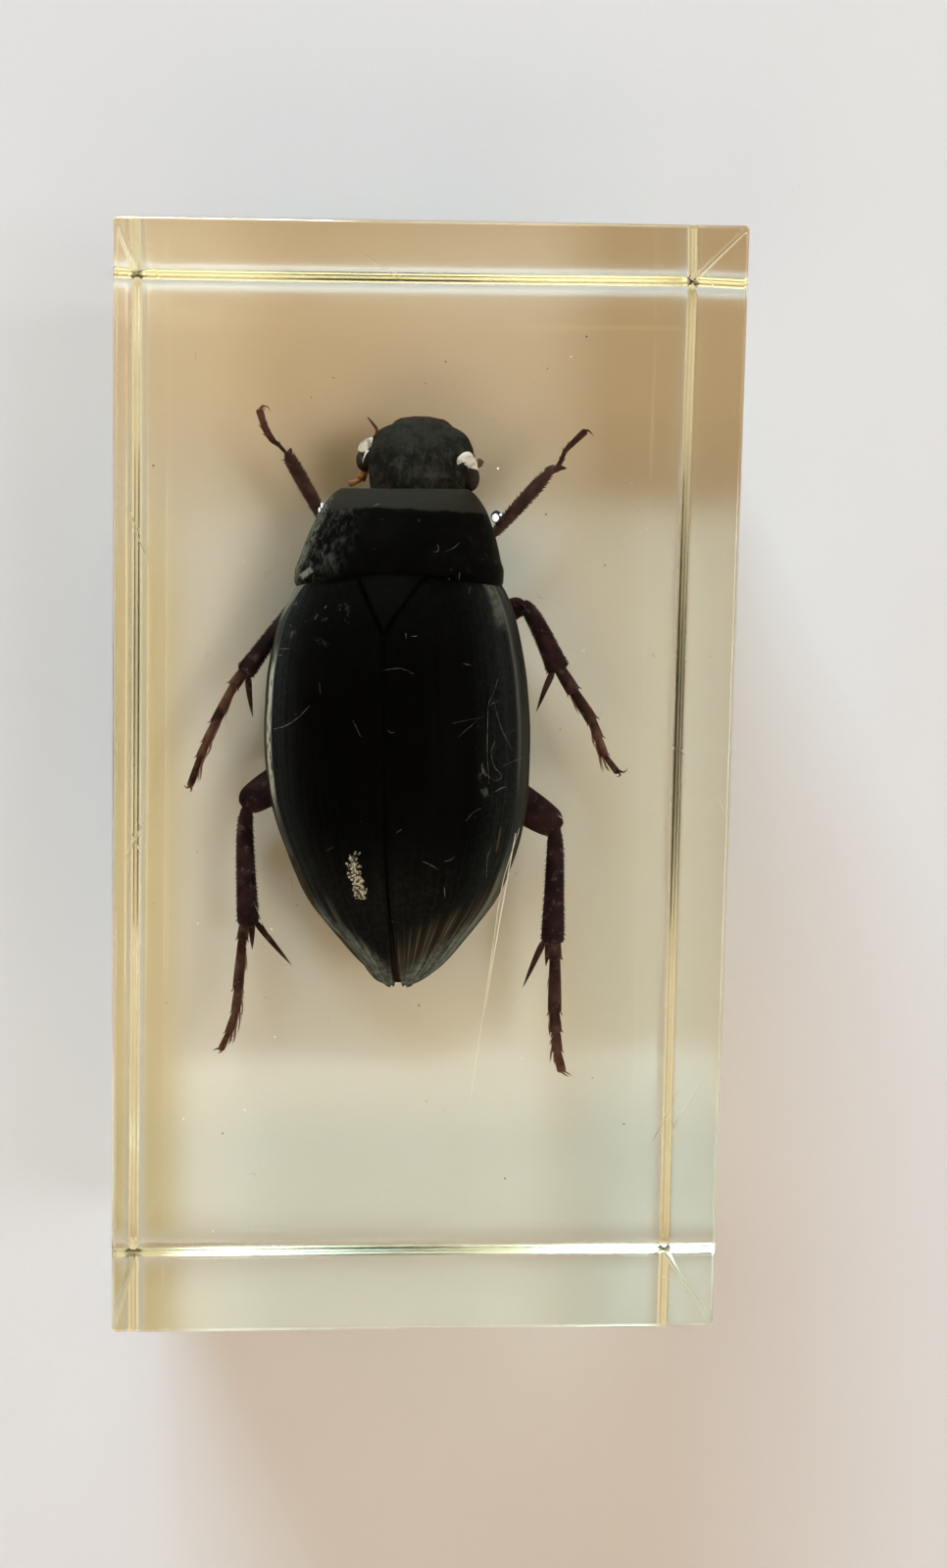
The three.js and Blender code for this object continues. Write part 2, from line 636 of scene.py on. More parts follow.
    pits = finish.noise(finish.place, 5200, 1)
    return finish.surface(
        Base_Color=colour,
        Roughness=0.3 + cloud * 0.15,
        Specular_IOR_Level=0.02,
        Normal=finish.bump(pits * 0.3 + streaks, 0.00001, 0.5),
    )


def grained(name, base):
    """A dull, finely grained cuticle of a given colour, for the head and the fore body."""
    finish = Finish(name)
    cloud = finish.noise(finish.place, 420, 4, 0.62)
    grain = finish.noise(finish.place, 4200, 2)
    colour = base(finish, cloud)
    specks = finish.patches(1500, 0.75, 0.82, 1)
    return finish.surface(
        Base_Color=finish.mix(specks * 0.35, colour, (0.085, 0.08, 0.068)),
        Roughness=0.4 + cloud * 0.2,
        Specular_IOR_Level=0.02,
        Normal=finish.bump(grain + cloud, 0.000015, 0.6),
    )


def head_cuticle(look):
    """Warm grey-black bloom over the whole head, lighter towards its front."""

    def base(finish, cloud):
        _, fore, _ = finish.split(finish.place)
        front = finish.rise(fore + cloud * 0.001, 0.0232, 0.0256)
        fine = finish.noise(finish.stretch(finish.place, (1, 0.35, 1)), 2600, 3, 0.7)
        patches = finish.patches(1100, 0.47, 0.6, 3, 0.7)
        smears = finish.noise(finish.stretch(finish.place, (0.5, 1, 1)), 950, 3, 0.6)
        rust = finish.patches(1500, 0.54, 0.66, 2, 0.6) * finish.rise(-1 * fore, -0.0222, -0.0212)
        return finish.paint(
            (0.014, 0.013, 0.0105),
            (finish.rise(cloud, 0.4, 0.62), tuple(look.bloom)),
            (finish.rise(fine, 0.46, 0.62) * 0.6, (0.056, 0.056, 0.047)),
            (patches * 0.8, (0.008, 0.009, 0.008)),
            (finish.rise(smears, 0.58, 0.72) * 0.6, (0.05, 0.056, 0.056)),
            (rust * 0.6, (0.035, 0.016, 0.012)),
            (front * (1 - patches * 0.65), (0.034, 0.0325, 0.0255)),
        )

    return grained("head_cuticle", base)


def fore_cuticle(look):
    """Black fore body with a grey band along its front and pale patches down its left side."""

    def base(finish, cloud):
        side, fore, _ = finish.split(finish.place)
        band = finish.rise(fore + side * 0.02 + (cloud - 0.5) * 0.0006, 0.01895, 0.01915)
        inward = side + 0.00865 - (fore - 0.015) * 0.4 - finish.rise(fore, 0.0135, 0.0185) * 0.0002
        blot = finish.noise(finish.stretch(finish.place, (1, 0.6, 1)), 2300, 4, 0.68)
        smudge = finish.noise(finish.place, 800, 3, 0.62)
        near = finish.rise(0.0034 - inward + cloud * 0.001, 0.0, 0.0026) * (1 - band)
        marks = finish.rise(smudge, 0.45, 0.62) * finish.rise(blot, 0.34, 0.56) * 0.5
        marks = finish.rise(blot, 0.46, 0.64) * 0.5 + marks
        fibres = finish.noise(finish.stretch(finish.place, (1, 0.4, 1)), 3600, 3, 0.7)
        pale = finish.rise(0.0006 - inward, 0.0, 0.0003) * finish.rise(fibres, 0.42, 0.6)
        ahead, aside = fore - 0.0147, side + 0.0078
        slant = (aside * 0.82 + ahead * 0.57) * 0.45
        wide = ahead * 0.82 - aside * 0.57
        spot = finish.rise(0.00026 - slant.absolute().larger(wide.absolute()), 0.0, 0.00012)
        right_side = finish.rise(side, 0.0028, 0.0042) * finish.rise(blot, 0.56, 0.68)
        return finish.paint(
            tuple(look.black),
            (finish.rise(cloud, 0.4, 0.8), (0.005, 0.005, 0.0046)),
            (band, tuple(look.bloom)),
            (near * marks.smaller(1.0), (0.062, 0.066, 0.06)),
            (pale * 0.75, (0.2, 0.2, 0.165)),
            (spot * finish.rise(blot, 0.3, 0.5) * 0.9, (0.29, 0.3, 0.26)),
            (right_side * 0.6, (0.028, 0.028, 0.025)),
        )

    return grained("fore_body_cuticle", base)


def plate_cuticle():
    """Plain dull black, for the scutellum, with painted shade in the groove round its edge."""

    def base(finish, cloud):
        colour = finish.mix(cloud, (0.0022, 0.0024, 0.0023), (0.0062, 0.0066, 0.0063))
        # painted shade in the groove round the plate
        return finish.mix(scutellum_groove_shade(finish, -0.14), colour, PAINTED_SEAM_SHADE)

    return grained("plate_cuticle", base)


def leg_cuticle(look, foot=False):
    """Dark red-black leg, browner on the fore legs. Feet are lighter towards their tips."""
    finish = Finish("foot_cuticle" if foot else "leg_cuticle")
    side, fore, _ = finish.split(finish.place)
    cloud = finish.noise(finish.place, 700, 4, 0.6)
    grain = finish.noise(finish.stretch(finish.place, (1, 0.4, 1)), 5200, 2)
    patch = finish.rise(cloud, 0.35, 0.7)
    shades = (0.03, 0.0135, 0.0125), (0.08, 0.039, 0.034)
    dark = finish.mix(patch, *(shades if foot else (tuple(look.leg), tuple(look.leg_light))))
    brown = finish.mix(patch, (0.042, 0.021, 0.018), (0.1, 0.052, 0.045))
    colour = finish.mix(finish.rise(fore, 0.0155, 0.0185), dark, brown)
    if foot:
        light = finish.mix(patch, (0.08, 0.028, 0.02), (0.19, 0.095, 0.07))
        ends = finish.rise(fore * -1, 0.0165, 0.0225).larger(finish.rise(side.absolute(), 0.0118, 0.0142))
        ends = ends.larger(finish.rise(fore, 0.0235, 0.0252))
        colour = finish.mix(ends * finish.rise(cloud, 0.3, 0.5), colour, light)
    pale = finish.patches(1300, 0.56, 0.68, 3, 0.7)
    return finish.surface(
        Base_Color=finish.mix(pale * 0.5, colour, (0.14, 0.11, 0.11)),
        Roughness=0.36 + cloud * 0.2,
        Specular_IOR_Level=0.06,
        Normal=finish.bump(grain, 0.00002, 0.6),
    )


def bubble_rim_shade():
    """Blue-black shells of painted shade, for the dark rim round the fore knee bubble."""
    finish = Finish("bubble_rim_shade")
    cloud = finish.noise(finish.place, 1500, 3, 0.6)
    return finish.surface(
        Base_Color=finish.mix(cloud, (0.008, 0.006, 0.012), (0.05, 0.035, 0.06)),
        Roughness=0.4,
        Specular_IOR_Level=0.06,
        Normal=finish.bump(cloud, 0.00002, 0.5),
    )


# Thin horn, each clouded between two colours.
HORN = {
    "maroon_cuticle": ((0.018, 0.006, 0.005), (0.055, 0.018, 0.013)),
    "lip_cuticle": ((0.06, 0.02, 0.014), (0.14, 0.052, 0.036)),
    "feeler_cuticle": ((0.1, 0.048, 0.038), (0.24, 0.125, 0.1)),
}


def horn(name):
    """Thin horn: maroon for jaws and keel, red-brown for the lip, dull brown for the feelers."""
    finish = Finish(name)
    cloud = finish.noise(finish.place, 900, 4, 0.6)
    return finish.surface(
        Base_Color=finish.mix(finish.rise(cloud, 0.35, 0.7), *HORN[name]),
        Roughness=0.36 + cloud * 0.2,
        Specular_IOR_Level=0.06,
        Normal=finish.bump(cloud, 0.00002, 0.6),
    )


def amber_cuticle(look):
    """Thin orange-brown cuticle of the palps."""
    finish = Finish("amber_cuticle")
    cloud = finish.noise(finish.place, 1500, 3, 0.6)
    return finish.surface(
        Base_Color=finish.mix(finish.rise(cloud, 0.4, 0.66), tuple(look.amber), (0.12, 0.035, 0.015)),
        Roughness=0.35,
        Specular_IOR_Level=0.2,
        Subsurface_Weight=0.25,
        Subsurface_Radius=(0.0006, 0.0003, 0.0001),
        Normal=finish.bump(cloud, 0.00002, 0.5),
    )


def belly_cuticle(look):
    """Velvety brown-black underside, its nap lying towards the tail, dark red behind along the seam."""
    finish = Finish("belly_cuticle")
    side, fore, _ = finish.split(finish.place)
    nap = finish.noise(finish.stretch(finish.place, (1, 0.18, 1)), 5200, 3, 0.7)
    cloud = finish.noise(finish.place, 300, 3)
    seam = finish.rise(0.0011 - (side + 0.0011).absolute(), 0.0, 0.0003)
    colour = finish.paint(
        tuple(look.black),
        (finish.rise(nap, 0.35, 0.75), (0.05, 0.032, 0.022)),
        (finish.rise(cloud, 0.5, 0.8) * 0.5, (0.085, 0.05, 0.03)),
        (seam * finish.rise(fore * -1, -0.001, 0.0012) * 0.9, (0.032, 0.007, 0.006)),
    )
    return finish.surface(
        Base_Color=colour,
        Roughness=0.55,
        Specular_IOR_Level=0.12,
        Normal=finish.bump(nap, 0.00003, 0.7),
    )


def eye_lens(look):
    """Compound eye: near black, cut in fine facets."""
    finish = Finish("eye_facets")
    facets = finish.node("TexVoronoi", {"feature": "DISTANCE_TO_EDGE"}, Vector=finish.place, Scale=16000)
    return finish.surface(
        Base_Color=finish.mix(finish.rise(facets, 0.0, 0.2), (0.035, 0.022, 0.018), tuple(look.black)),
        Roughness=0.25,
        Specular_IOR_Level=0.25,
        Normal=finish.bump(finish.rise(facets, 0.0, 0.3), 0.00001, 0.7),
    )


def air_film(look):
    """Air trapped against the cuticle: its reflection painted silvery white with a faint painted glow,
    broken by wetted patches.
    """
    finish = Finish("air_film")
    cloud = finish.noise(finish.place, 1400, 3, 0.6)
    wet = finish.rise(cloud, 0.5, 0.66)
    return finish.surface(
        Base_Color=finish.mix(wet * 0.75, tuple(look.silver), (0.3, 0.285, 0.24)),
        # painted glow for the air's shine
        Emission_Color=finish.mix(wet, (1.0, 0.98, 0.92), (0.1, 0.1, 0.08)),
        Emission_Strength=0.14,
        Roughness=0.22 + wet * 0.3,
        Specular_IOR_Level=0.8,
        Normal=finish.bump(cloud, 0.00005, 0.5),
    )


def air_bubble():
    """A bubble: a bright mirror to the light with a painted glow for its glint, faintly clouded."""
    finish = Finish("air_bubble")
    cloud = finish.noise(finish.place, 2200, 2)
    return finish.surface(
        Base_Color=finish.mix(finish.rise(cloud, 0.4, 0.7), (0.96, 0.97, 1.0), (0.7, 0.74, 0.86)),
        Roughness=0.3,
        Metallic=1.0,
        # painted glow: the bubble's glint
        Emission_Color=(0.93, 0.96, 1.0),
        Emission_Strength=0.9,
        Normal=finish.bump(cloud, 0.00003, 0.5),
    )


def chalky_flake():
    """A crumb of dried matter: chalky, pale, full of dark pores."""
    finish = Finish("chalky_flake")
    pores = finish.patches(4300, 0.47, 0.55, 1, 0.7)
    colour = finish.mix(pores, (0.78, 0.75, 0.64), (0.09, 0.08, 0.065))
    return finish.surface(Base_Color=colour, Roughness=0.85, Normal=finish.bump(1 - pores, 0.00006, 0.8))


def lint():
    """A pale fibre, twisted along its length."""
    finish = Finish("lint")
    twist = finish.noise(finish.place, 2600, 1)
    colour = finish.mix(finish.rise(twist, 0.4, 0.6), (0.1, 0.098, 0.09), (0.3, 0.29, 0.26))
    return finish.surface(Base_Color=colour, Roughness=0.6, Normal=finish.bump(twist, 0.00001, 0.5))


def silk():
    """A glassy pale hair, with a painted glow for its glint that makes it lighter than the paper behind
    it.
    """
    finish = Finish("silk")
    return finish.surface(
        Base_Color=finish.mix(finish.noise(finish.place, 900, 1), (0.9, 0.86, 0.74), (1.0, 0.98, 0.9)),
        Roughness=0.3,
        Specular_IOR_Level=0.8,
        # painted glow standing in for the hair's glint
        Emission_Color=(1.0, 0.93, 0.76),
        Emission_Strength=0.3,
    )


def swimming_hair():
    """Fine reddish hair of the swimming fringes."""
    finish = Finish("swimming_hair")
    shade = finish.noise(finish.place, 1800, 1)
    colour = finish.mix(shade, (0.15, 0.065, 0.042), (0.36, 0.19, 0.12))
    return finish.surface(Base_Color=colour, Roughness=0.45, Specular_IOR_Level=0.2)


def grit():
    """Dust cast in the resin: brown, grainy."""
    finish = Finish("grit")
    grain = finish.noise(finish.place, 3000, 2)
    colour = finish.mix(grain, (0.05, 0.035, 0.02), (0.2, 0.15, 0.1))
    return finish.surface(Base_Color=colour, Roughness=0.8, Normal=finish.bump(grain, 0.00003, 0.6))


def paper(stage):
    """Plain white paper with a faint tooth, with the light and shade that the block throws painted in
    beneath it.
    """
    finish = Finish("paper")
    tooth = finish.noise(finish.place, 1400, 4, 0.6)
    mottle = finish.noise(finish.place, 60, 3)
    plain = finish.mix(mottle, tuple(stage.floor), tuple(0.97 * c for c in stage.floor))
    x, y, _ = finish.split(finish.place)
    half_x, half_y = PAPER_REACH
    # under the block: painted cool light towards the lower right and the tail end, painted brown shade
    # towards the head, painted gold light along the left side
    under = finish.rise(half_x - x.absolute(), 0.0, 0.0008)
    under = under * finish.rise(half_y - y.absolute(), 0.0, 0.002)
    bright = finish.rise(x, -0.011, 0.011) * finish.rise(y * -1, -0.031, -0.01)
    painted_tail_light = finish.rise(y * -1, 0.0205, 0.0235) * (0.8 - finish.rise(y * -1, 0.0335, 0.037) * 0.5)
    brown = finish.rise(y, 0.016, 0.03) * (1 - finish.rise(x, -0.014, 0.008) * 0.5)
    painted_gold_light = finish.rise(x * -1, 0.0158, 0.02) * (1 - finish.rise(y, 0.012, 0.028))
    painted_light_beneath = finish.paint(
        plain,
        (bright.larger(painted_tail_light), (0.95, 0.985, 1.0)),
        (brown, (0.735, 0.67, 0.56)),
        (painted_gold_light, (0.765, 0.715, 0.51)),
    )
    return finish.surface(
        Base_Color=finish.mix(under, plain, painted_light_beneath),
        Roughness=0.85,
        Specular_IOR_Level=0.2,
        Normal=finish.bump(tooth, 0.00003, 0.35),
    )


# ---------------------------------------------------------------- settings


class BlockSettings(bpy.types.PropertyGroup):
    """The resin block."""

    top_edge: bpy.props.FloatProperty(
        name="Upper edges", description="Rounding of the top and upright edges",
        default=0.00035, unit="LENGTH"
    )
    foot_edge: bpy.props.FloatProperty(
        name="Lower edges", description="Rounding of the underside's edges",
        default=0.00098, unit="LENGTH"
    )
    ior: bpy.props.FloatProperty(
        name="Index", description="Refractive index of the cured resin",
        default=1.55
    )
    tint: bpy.props.FloatVectorProperty(
        name="Tint", description="Colour that light keeps in the thick",
        default=(0.935, 0.92, 0.48), subtype="COLOR"
    )
    tint_density: bpy.props.FloatProperty(
        name="Tint density", description="How fast light is lost, per metre", default=10.0
    )
    scratches: bpy.props.FloatProperty(
        name="Scratches", description="Depth of the handling scratches", default=1.0, subtype="FACTOR"
    )


class BeetleSettings(bpy.types.PropertyGroup):
    """The beetle."""

    black: bpy.props.FloatVectorProperty(
        name="Black", description="Black cuticle", default=(0.0013, 0.0013, 0.001), subtype="COLOR"
    )
    # colour of the painted sheen along a wing case's edge
    grey: bpy.props.FloatVectorProperty(
        name="Edge grey", description="Dull edge of a wing case",
        default=(0.12, 0.128, 0.122), subtype="COLOR"
    )
    bloom: bpy.props.FloatVectorProperty(
        name="Bloom", description="Grey bloom on head and fore body",
        default=(0.0305, 0.0278, 0.0215), subtype="COLOR"
    )
    leg: bpy.props.FloatVectorProperty(
        name="Leg", description="Darkest leg colour", default=(0.0145, 0.0072, 0.009), subtype="COLOR"
    )
    leg_light: bpy.props.FloatVectorProperty(
        name="Leg highlight", description="Lightest leg colour",
        default=(0.042, 0.018, 0.02), subtype="COLOR"
    )
    amber: bpy.props.FloatVectorProperty(
        name="Amber", description="Thin cuticle of the palps", default=(0.45, 0.15, 0.035), subtype="COLOR"
    )
    # colour of the painted reflection of trapped air
    silver: bpy.props.FloatVectorProperty(
        name="Air", description="Trapped air", default=(0.95, 0.95, 0.9), subtype="COLOR"
    )
    striae: bpy.props.IntProperty(
        name="Striae", description="Grooves on each wing case",
        default=10, min=2, max=14
    )
    groove: bpy.props.FloatProperty(
        name="Groove depth", description="Depth of a stria at the tail", default=0.00006, unit="LENGTH"
    )


class StageSettings(bpy.types.PropertyGroup):
    """Floor, light and camera."""

    floor: bpy.props.FloatVectorProperty(
        name="Floor", description="Paper colour", default=(0.8, 0.8, 0.8), subtype="COLOR"
    )
    lamps: bpy.props.FloatProperty(
        name="Lamps", description="Strength of the window and the lamps",
        default=1.0
    )
    room: bpy.props.FloatProperty(
        name="Room", description="Strength of the room's own light",
        default=1.0
    )
    lens: bpy.props.FloatProperty(name="Lens", description="Focal length in millimetres", default=31.05)
    lens_shift: bpy.props.FloatProperty(
        name="Lens shift", description="Sideways shift that sets the block left of the middle",
        default=0.03
    )


# ---------------------------------------------------------------- stage


PAPER_GAP = 0.00005
PAPER_RADIUS = 3
LIGHT_BOUNCES = 24  # clear resin is seen through many inner reflections
CARD_MIDDLE, CARD_SIZE = (-1.1, 0.0085, 0.16), (0.397, 0.32)
CAMERA_PLACE = (-5.0015, 8.3607, 111.172)
CAMERA_TURN = (-5.0118, -3.4027, 0.737)

# Each lamp: turn from +Y towards -X and rise in degrees, distance and size in metres, power, colour.
LAMPS = {
    "window_light": (14, 15, 1.3, (0.58, 0.56), 30.0, (0.52, 0.76, 0.97)),
    "side_light": (-95, 55, 1.2, (0.5, 0.5), 2.9, (0.97, 1.0, 1.08)),
    "low_room_light": (180, 45, 1.2, (0.9, 0.5), 2.5, (1.0, 0.72, 0.52)),
    "far_wall_light": (180, 7, 1.3, (1.6, 0.3), 1.7, (1.0, 0.9, 0.68)),
}
SKY = [
    (0.0, (0.82, 0.78, 0.7)), (0.05, (0.9, 0.84, 0.7)), (0.12, (0.93, 0.82, 0.63)),
    (0.3, (0.95, 0.78, 0.54)), (0.45, (0.5, 0.35, 0.22)), (0.86, (0.5, 0.35, 0.22)),
    (0.955, (0.01, 0.01, 0.01)),
]


def build_room(stage):
    """Soft warm light from all round, darkest straight overhead."""
    world = bpy.data.worlds.new("room_light")
    bpy.context.scene.world = world
    world.use_nodes = True
    tree = world.node_tree
    tree.nodes.clear()
    output = tree.nodes.new("ShaderNodeOutputWorld")
    background = tree.nodes.new("ShaderNodeBackground")
    place = tree.nodes.new("ShaderNodeTexCoord")
    split = tree.nodes.new("ShaderNodeSeparateXYZ")
    tree.links.new(place.outputs["Generated"], split.inputs[0])
    ramp = tree.nodes.new("ShaderNodeValToRGB")
    steps = ramp.color_ramp.elements
    steps[0].position, steps[1].position = SKY[0][0], SKY[-1][0]
    for position, _ in SKY[1:-1]:
        steps.new(position)
    for step, (_, colour) in zip(steps, SKY):
        step.color = (*colour, 1)
    tree.links.new(split.outputs[2], ramp.inputs[0])
    tree.links.new(ramp.outputs[0], background.inputs["Color"])
    background.inputs["Strength"].default_value = stage.room
    tree.links.new(background.outputs[0], output.inputs["Surface"])


def build_lamps(stage):
    """A cool window beyond the head end, and weaker warm light from the side and the tail end."""
    for name, (turn, rise, distance, size, energy, colour) in LAMPS.items():
        turn, rise = math.radians(turn), math.radians(rise)
        level = math.cos(rise)
        toward = Vector((-math.sin(turn) * level, math.cos(turn) * level, math.sin(rise)))
        bpy.ops.object.select_all(action="DESELECT")
        bpy.ops.object.light_add(type="AREA", location=toward * distance)
        lamp = bpy.context.active_object
        lamp.name = name
        lamp.rotation_euler = toward.to_track_quat("Z", "Y").to_euler()
        lamp.data.shape = "RECTANGLE"
        lamp.data.size, lamp.data.size_y = size
        lamp.data.energy = energy * stage.lamps
        lamp.data.color = colour
        lamp.visible_camera = False


def build_camera(stage):
    """Looks almost straight down on the block."""
    bpy.ops.object.camera_add(location=Vector(CAMERA_PLACE) * MM)
    camera = bpy.context.active_object
    camera.name = "camera"
    camera.rotation_euler = [math.radians(a) for a in CAMERA_TURN]
    camera.data.lens = stage.lens
    camera.data.sensor_width = 36
    camera.data.shift_x = stage.lens_shift
    camera.data.clip_start = 0.002
    bpy.context.scene.camera = camera


def build_card():
    """A dark card standing off to the left, which the right-hand lower edge mirrors."""
    card = start(bpy.ops.mesh.primitive_plane_add, size=1)
    card.name = "dark_card"
    middle, (width, height) = CARD_MIDDLE, CARD_SIZE
    carry(card, lambda co: Vector((middle[0], middle[1] + width * co.x, middle[2] + height * co.y)))
    finish = Finish("dark_card")
    weave = finish.noise(finish.place, 300, 2)
    colour = finish.mix(weave, (0.16, 0.13, 0.09), (0.2, 0.165, 0.12))
    finish.surface(Base_Color=colour, Roughness=0.9, Specular_IOR_Level=0.1)
    card.data.materials.append(finish.material)
    card.visible_camera = False
    card.visible_glossy = False


class RESIN_OT_stage(bpy.types.Operator):
    """Lay the paper, light it and set the camera"""

    bl_idname = "resin_beetle.stage"
    bl_label = "Stage"

    def execute(self, context):
        stage = context.scene.resin_stage
        circle = bpy.ops.mesh.primitive_circle_add
        floor = start(circle, vertices=96, radius=PAPER_RADIUS, fill_type="NGON")
        floor.name = "paper_floor"
        carry(floor, lambda co: co - Vector((0, 0, PAPER_GAP)))
        floor.data.materials.append(paper(stage))
        build_room(stage)
        build_lamps(stage)
        build_card()
        build_camera(stage)
        context.scene.view_settings.view_transform = "Standard"
        cycles = context.scene.cycles
        cycles.blur_glossy = 0.0  # light goes straight through clear resin, unblurred
        cycles.max_bounces = cycles.glossy_bounces = cycles.transmission_bounces = LIGHT_BOUNCES
        return {"FINISHED"}


# ---------------------------------------------------------------- resin block


def side_line(x, y, distance, turn):
    """A side face seen from above: its outward direction, turned, and its distance."""
    return Matrix.Rotation(math.radians(turn), 2) @ Vector((x, y)), distance


def crossing(a, b):
    """Where two side lines cross."""
    (na, da), (nb, db) = a, b
    turn = na.x * nb.y - na.y * nb.x
    return Vector(((da * nb.y - db * na.y) / turn, (db * na.x - da * nb.x) / turn))


def block_corners():
    """The four corners from above, by the signs of X and Y, centred on the origin."""
    sides = {
        "left": side_line(-1, 0, BLOCK_WIDTH / 2, LEFT_TURN),
        "right": side_line(1, 0, BLOCK_WIDTH / 2, RIGHT_TURN),
        "head": side_line(0, 1, BLOCK_LENGTH / 2, HEAD_TURN),
        "tail": side_line(0, -1, BLOCK_LENGTH / 2, TAIL_TURN),
    }
    corners = {
        (-1, -1): crossing(sides["left"], sides["tail"]),
        (1, -1): crossing(sides["right"], sides["tail"]),
        (-1, 1): crossing(sides["left"], sides["head"]),
        (1, 1): crossing(sides["right"], sides["head"]),
    }
    xs = [c.x for c in corners.values()]
    ys = [c.y for c in corners.values()]
    middle = Vector(((min(xs) + max(xs)) / 2, (min(ys) + max(ys)) / 2))
    return {key: corner - middle for key, corner in corners.items()}


class RESIN_OT_block(bpy.types.Operator):
    """Cast the resin block"""

    bl_idname = "resin_beetle.block"
    bl_label = "Resin block"

    def execute(self, context):
        look = context.scene.resin_block
        block = start(bpy.ops.mesh.primitive_cube_add, size=2)
        corners = block_corners()

        def place(co):
            corner = corners[round(co.x), round(co.y)] * 0.9998
            lean = BLOCK_LEAN * co.z / 2
            return Vector((corner.x + lean, corner.y, BLOCK_HEIGHT * (co.z + 1) / 2))

        carry(block, place)
        weights = block.data.attributes.new("bevel_weight_edge", "FLOAT", "EDGE")
        for edge in block.data.edges:
            low = all(block.data.vertices[i].co.z < 0.1 for i in edge.vertices)
            weights.data[edge.index].value = 1.0 if low else look.top_edge / look.foot_edge
        for face in block.data.polygons:
            face.use_smooth = True
        rounding = look.foot_edge / MM
        modify(block, "BEVEL", width=rounding, segments=8, limit_method="WEIGHT", harden_normals=True)
        resin = clear_resin(look)
        finish_piece(block, "resin_block_clear", resin, smooth_angle=0, closed=False)
        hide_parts("resin_block")
        return {"FINISHED"}


# ---------------------------------------------------------------- wing cases


ELYTRON_COLUMNS, ELYTRON_ROWS = 110, 160
FOLD = 0.14  # how much of the sheet is folded under past the margin
CASE_WALL = 0.22
BACK_POWER = 0.94  # squareness of the back's cross section
PLATE_WALL = 0.3


def back_top(x, y):
    """Height of the back over a place in the hind body's frame."""
    across = math.asin(min(abs(x) / half_width(y), 1)) * 2 / math.pi
    return back_height(y) * math.cos(across * math.pi / 2) ** BACK_POWER if across < 1 else 0.0


def scutellum_middle(y):
    """The scutellum leans to the right as it goes forward."""
    return SCUTELLUM_LEAN * max(y - SCUTELLUM_TIP, 0.0)


def scutellum_edge(y):
    """Half width of the scutellum at y."""
    along = min(max((y - SCUTELLUM_TIP) / (SCUTELLUM_FRONT - SCUTELLUM_TIP), 0.0), 1.0)
    return SCUTELLUM_HALF * (0.02 + 0.98 * along**0.95)


def elytron_place(side, striae, groove):
    """Where each point of a flat sheet goes on one wing case."""

    def place(co):
        across = (co.x + 1) / 2 * (1 + FOLD)
        along = (co.y + 1) / 2
        y = TAIL_Y + (SHOULDER_Y - TAIL_Y) * along**1.25
        gap = suture_gap(y)
        width, height = half_width(y), back_height(y)
        if side < 0:
            width -= left_trim(y)
        angle = min(across, 1.0) * math.pi / 2
        reach = math.sin(angle) ** BACK_POWER
        rise = max(math.cos(angle), 0.0) ** BACK_POWER
        ripple = (0.5 - 0.5 * math.cos(2 * math.pi * across * (striae + 0.5))) ** 6
        depth = groove * ripple * (0.35 + 0.65 * smooth(2, -12, y)) * smooth(0, 0.05, across)
        rim = 0.14 * smooth(0.955, 0.985, across) * smooth(-15.0, -13.0, y)
        x = gap + (width - gap) * reach - depth * reach + rim
        z = height * rise - depth * rise - 0.1 * (1 - smooth(0.0, 0.014, across))
        if across > 1:
            t = (across - 1) / FOLD
            tuck = min(1.25, 0.45 * (width - gap))
            x -= tuck * t
            z -= 0.5 * t * smooth(-15.0, -12.0, y)
        tucked = 0.5 * smooth(14.1, 15.0, y)
        inside = scutellum_edge(y) + 0.2 - abs(side * x - scutellum_middle(y))
        seat = 0.55 * smooth(0.0, 0.14, inside) * smooth(SCUTELLUM_TIP - 0.2, SCUTELLUM_TIP, y)
        return HIND @ Vector((side * x, y, z - tucked - seat))

    return place


class RESIN_OT_elytra(bpy.types.Operator):
    """Make both wing cases, with their striae and folded edges"""

    bl_idname = "resin_beetle.elytra"
    bl_label = "Wing cases"

    def execute(self, context):
        look = context.scene.resin_beetle
        cuticle = elytron_cuticle(look)
        for name, side in (("elytron_left", -1), ("elytron_right", 1)):
            case = sheet(ELYTRON_COLUMNS, ELYTRON_ROWS)
            carry(case, elytron_place(side, look.striae, look.groove / MM))
            if side < 0:
                editing(case, lambda: bpy.ops.mesh.flip_normals())
            modify(case, "SOLIDIFY", thickness=CASE_WALL, offset=-1)
            finish_piece(case, name, cuticle, closed=False)
        return {"FINISHED"}


class RESIN_OT_scutellum(bpy.types.Operator):
    """Make the small triangular plate between the wing cases"""

    bl_idname = "resin_beetle.scutellum"
    bl_label = "Scutellum"

    def execute(self, context):
        plate = sheet(16, 16)

        def place(co):
            along = (co.y + 1) / 2
            y = SCUTELLUM_TIP + (SCUTELLUM_FRONT - SCUTELLUM_TIP) * along
            x = scutellum_middle(y) + co.x * scutellum_edge(y)
            crown = -0.02 + 0.07 * (1 - co.x**2) * smooth(0, 0.3, along)
            return HIND @ Vector((x, y, back_top(x, y) + crown))

        carry(plate, place)
        modify(plate, "SOLIDIFY", thickness=PLATE_WALL, offset=-1)
        modify(plate, "BEVEL", width=0.05, segments=2, limit_method="ANGLE")
        finish_piece(plate, "scutellum", plate_cuticle())
        return {"FINISHED"}


# ---------------------------------------------------------------- fore body and head


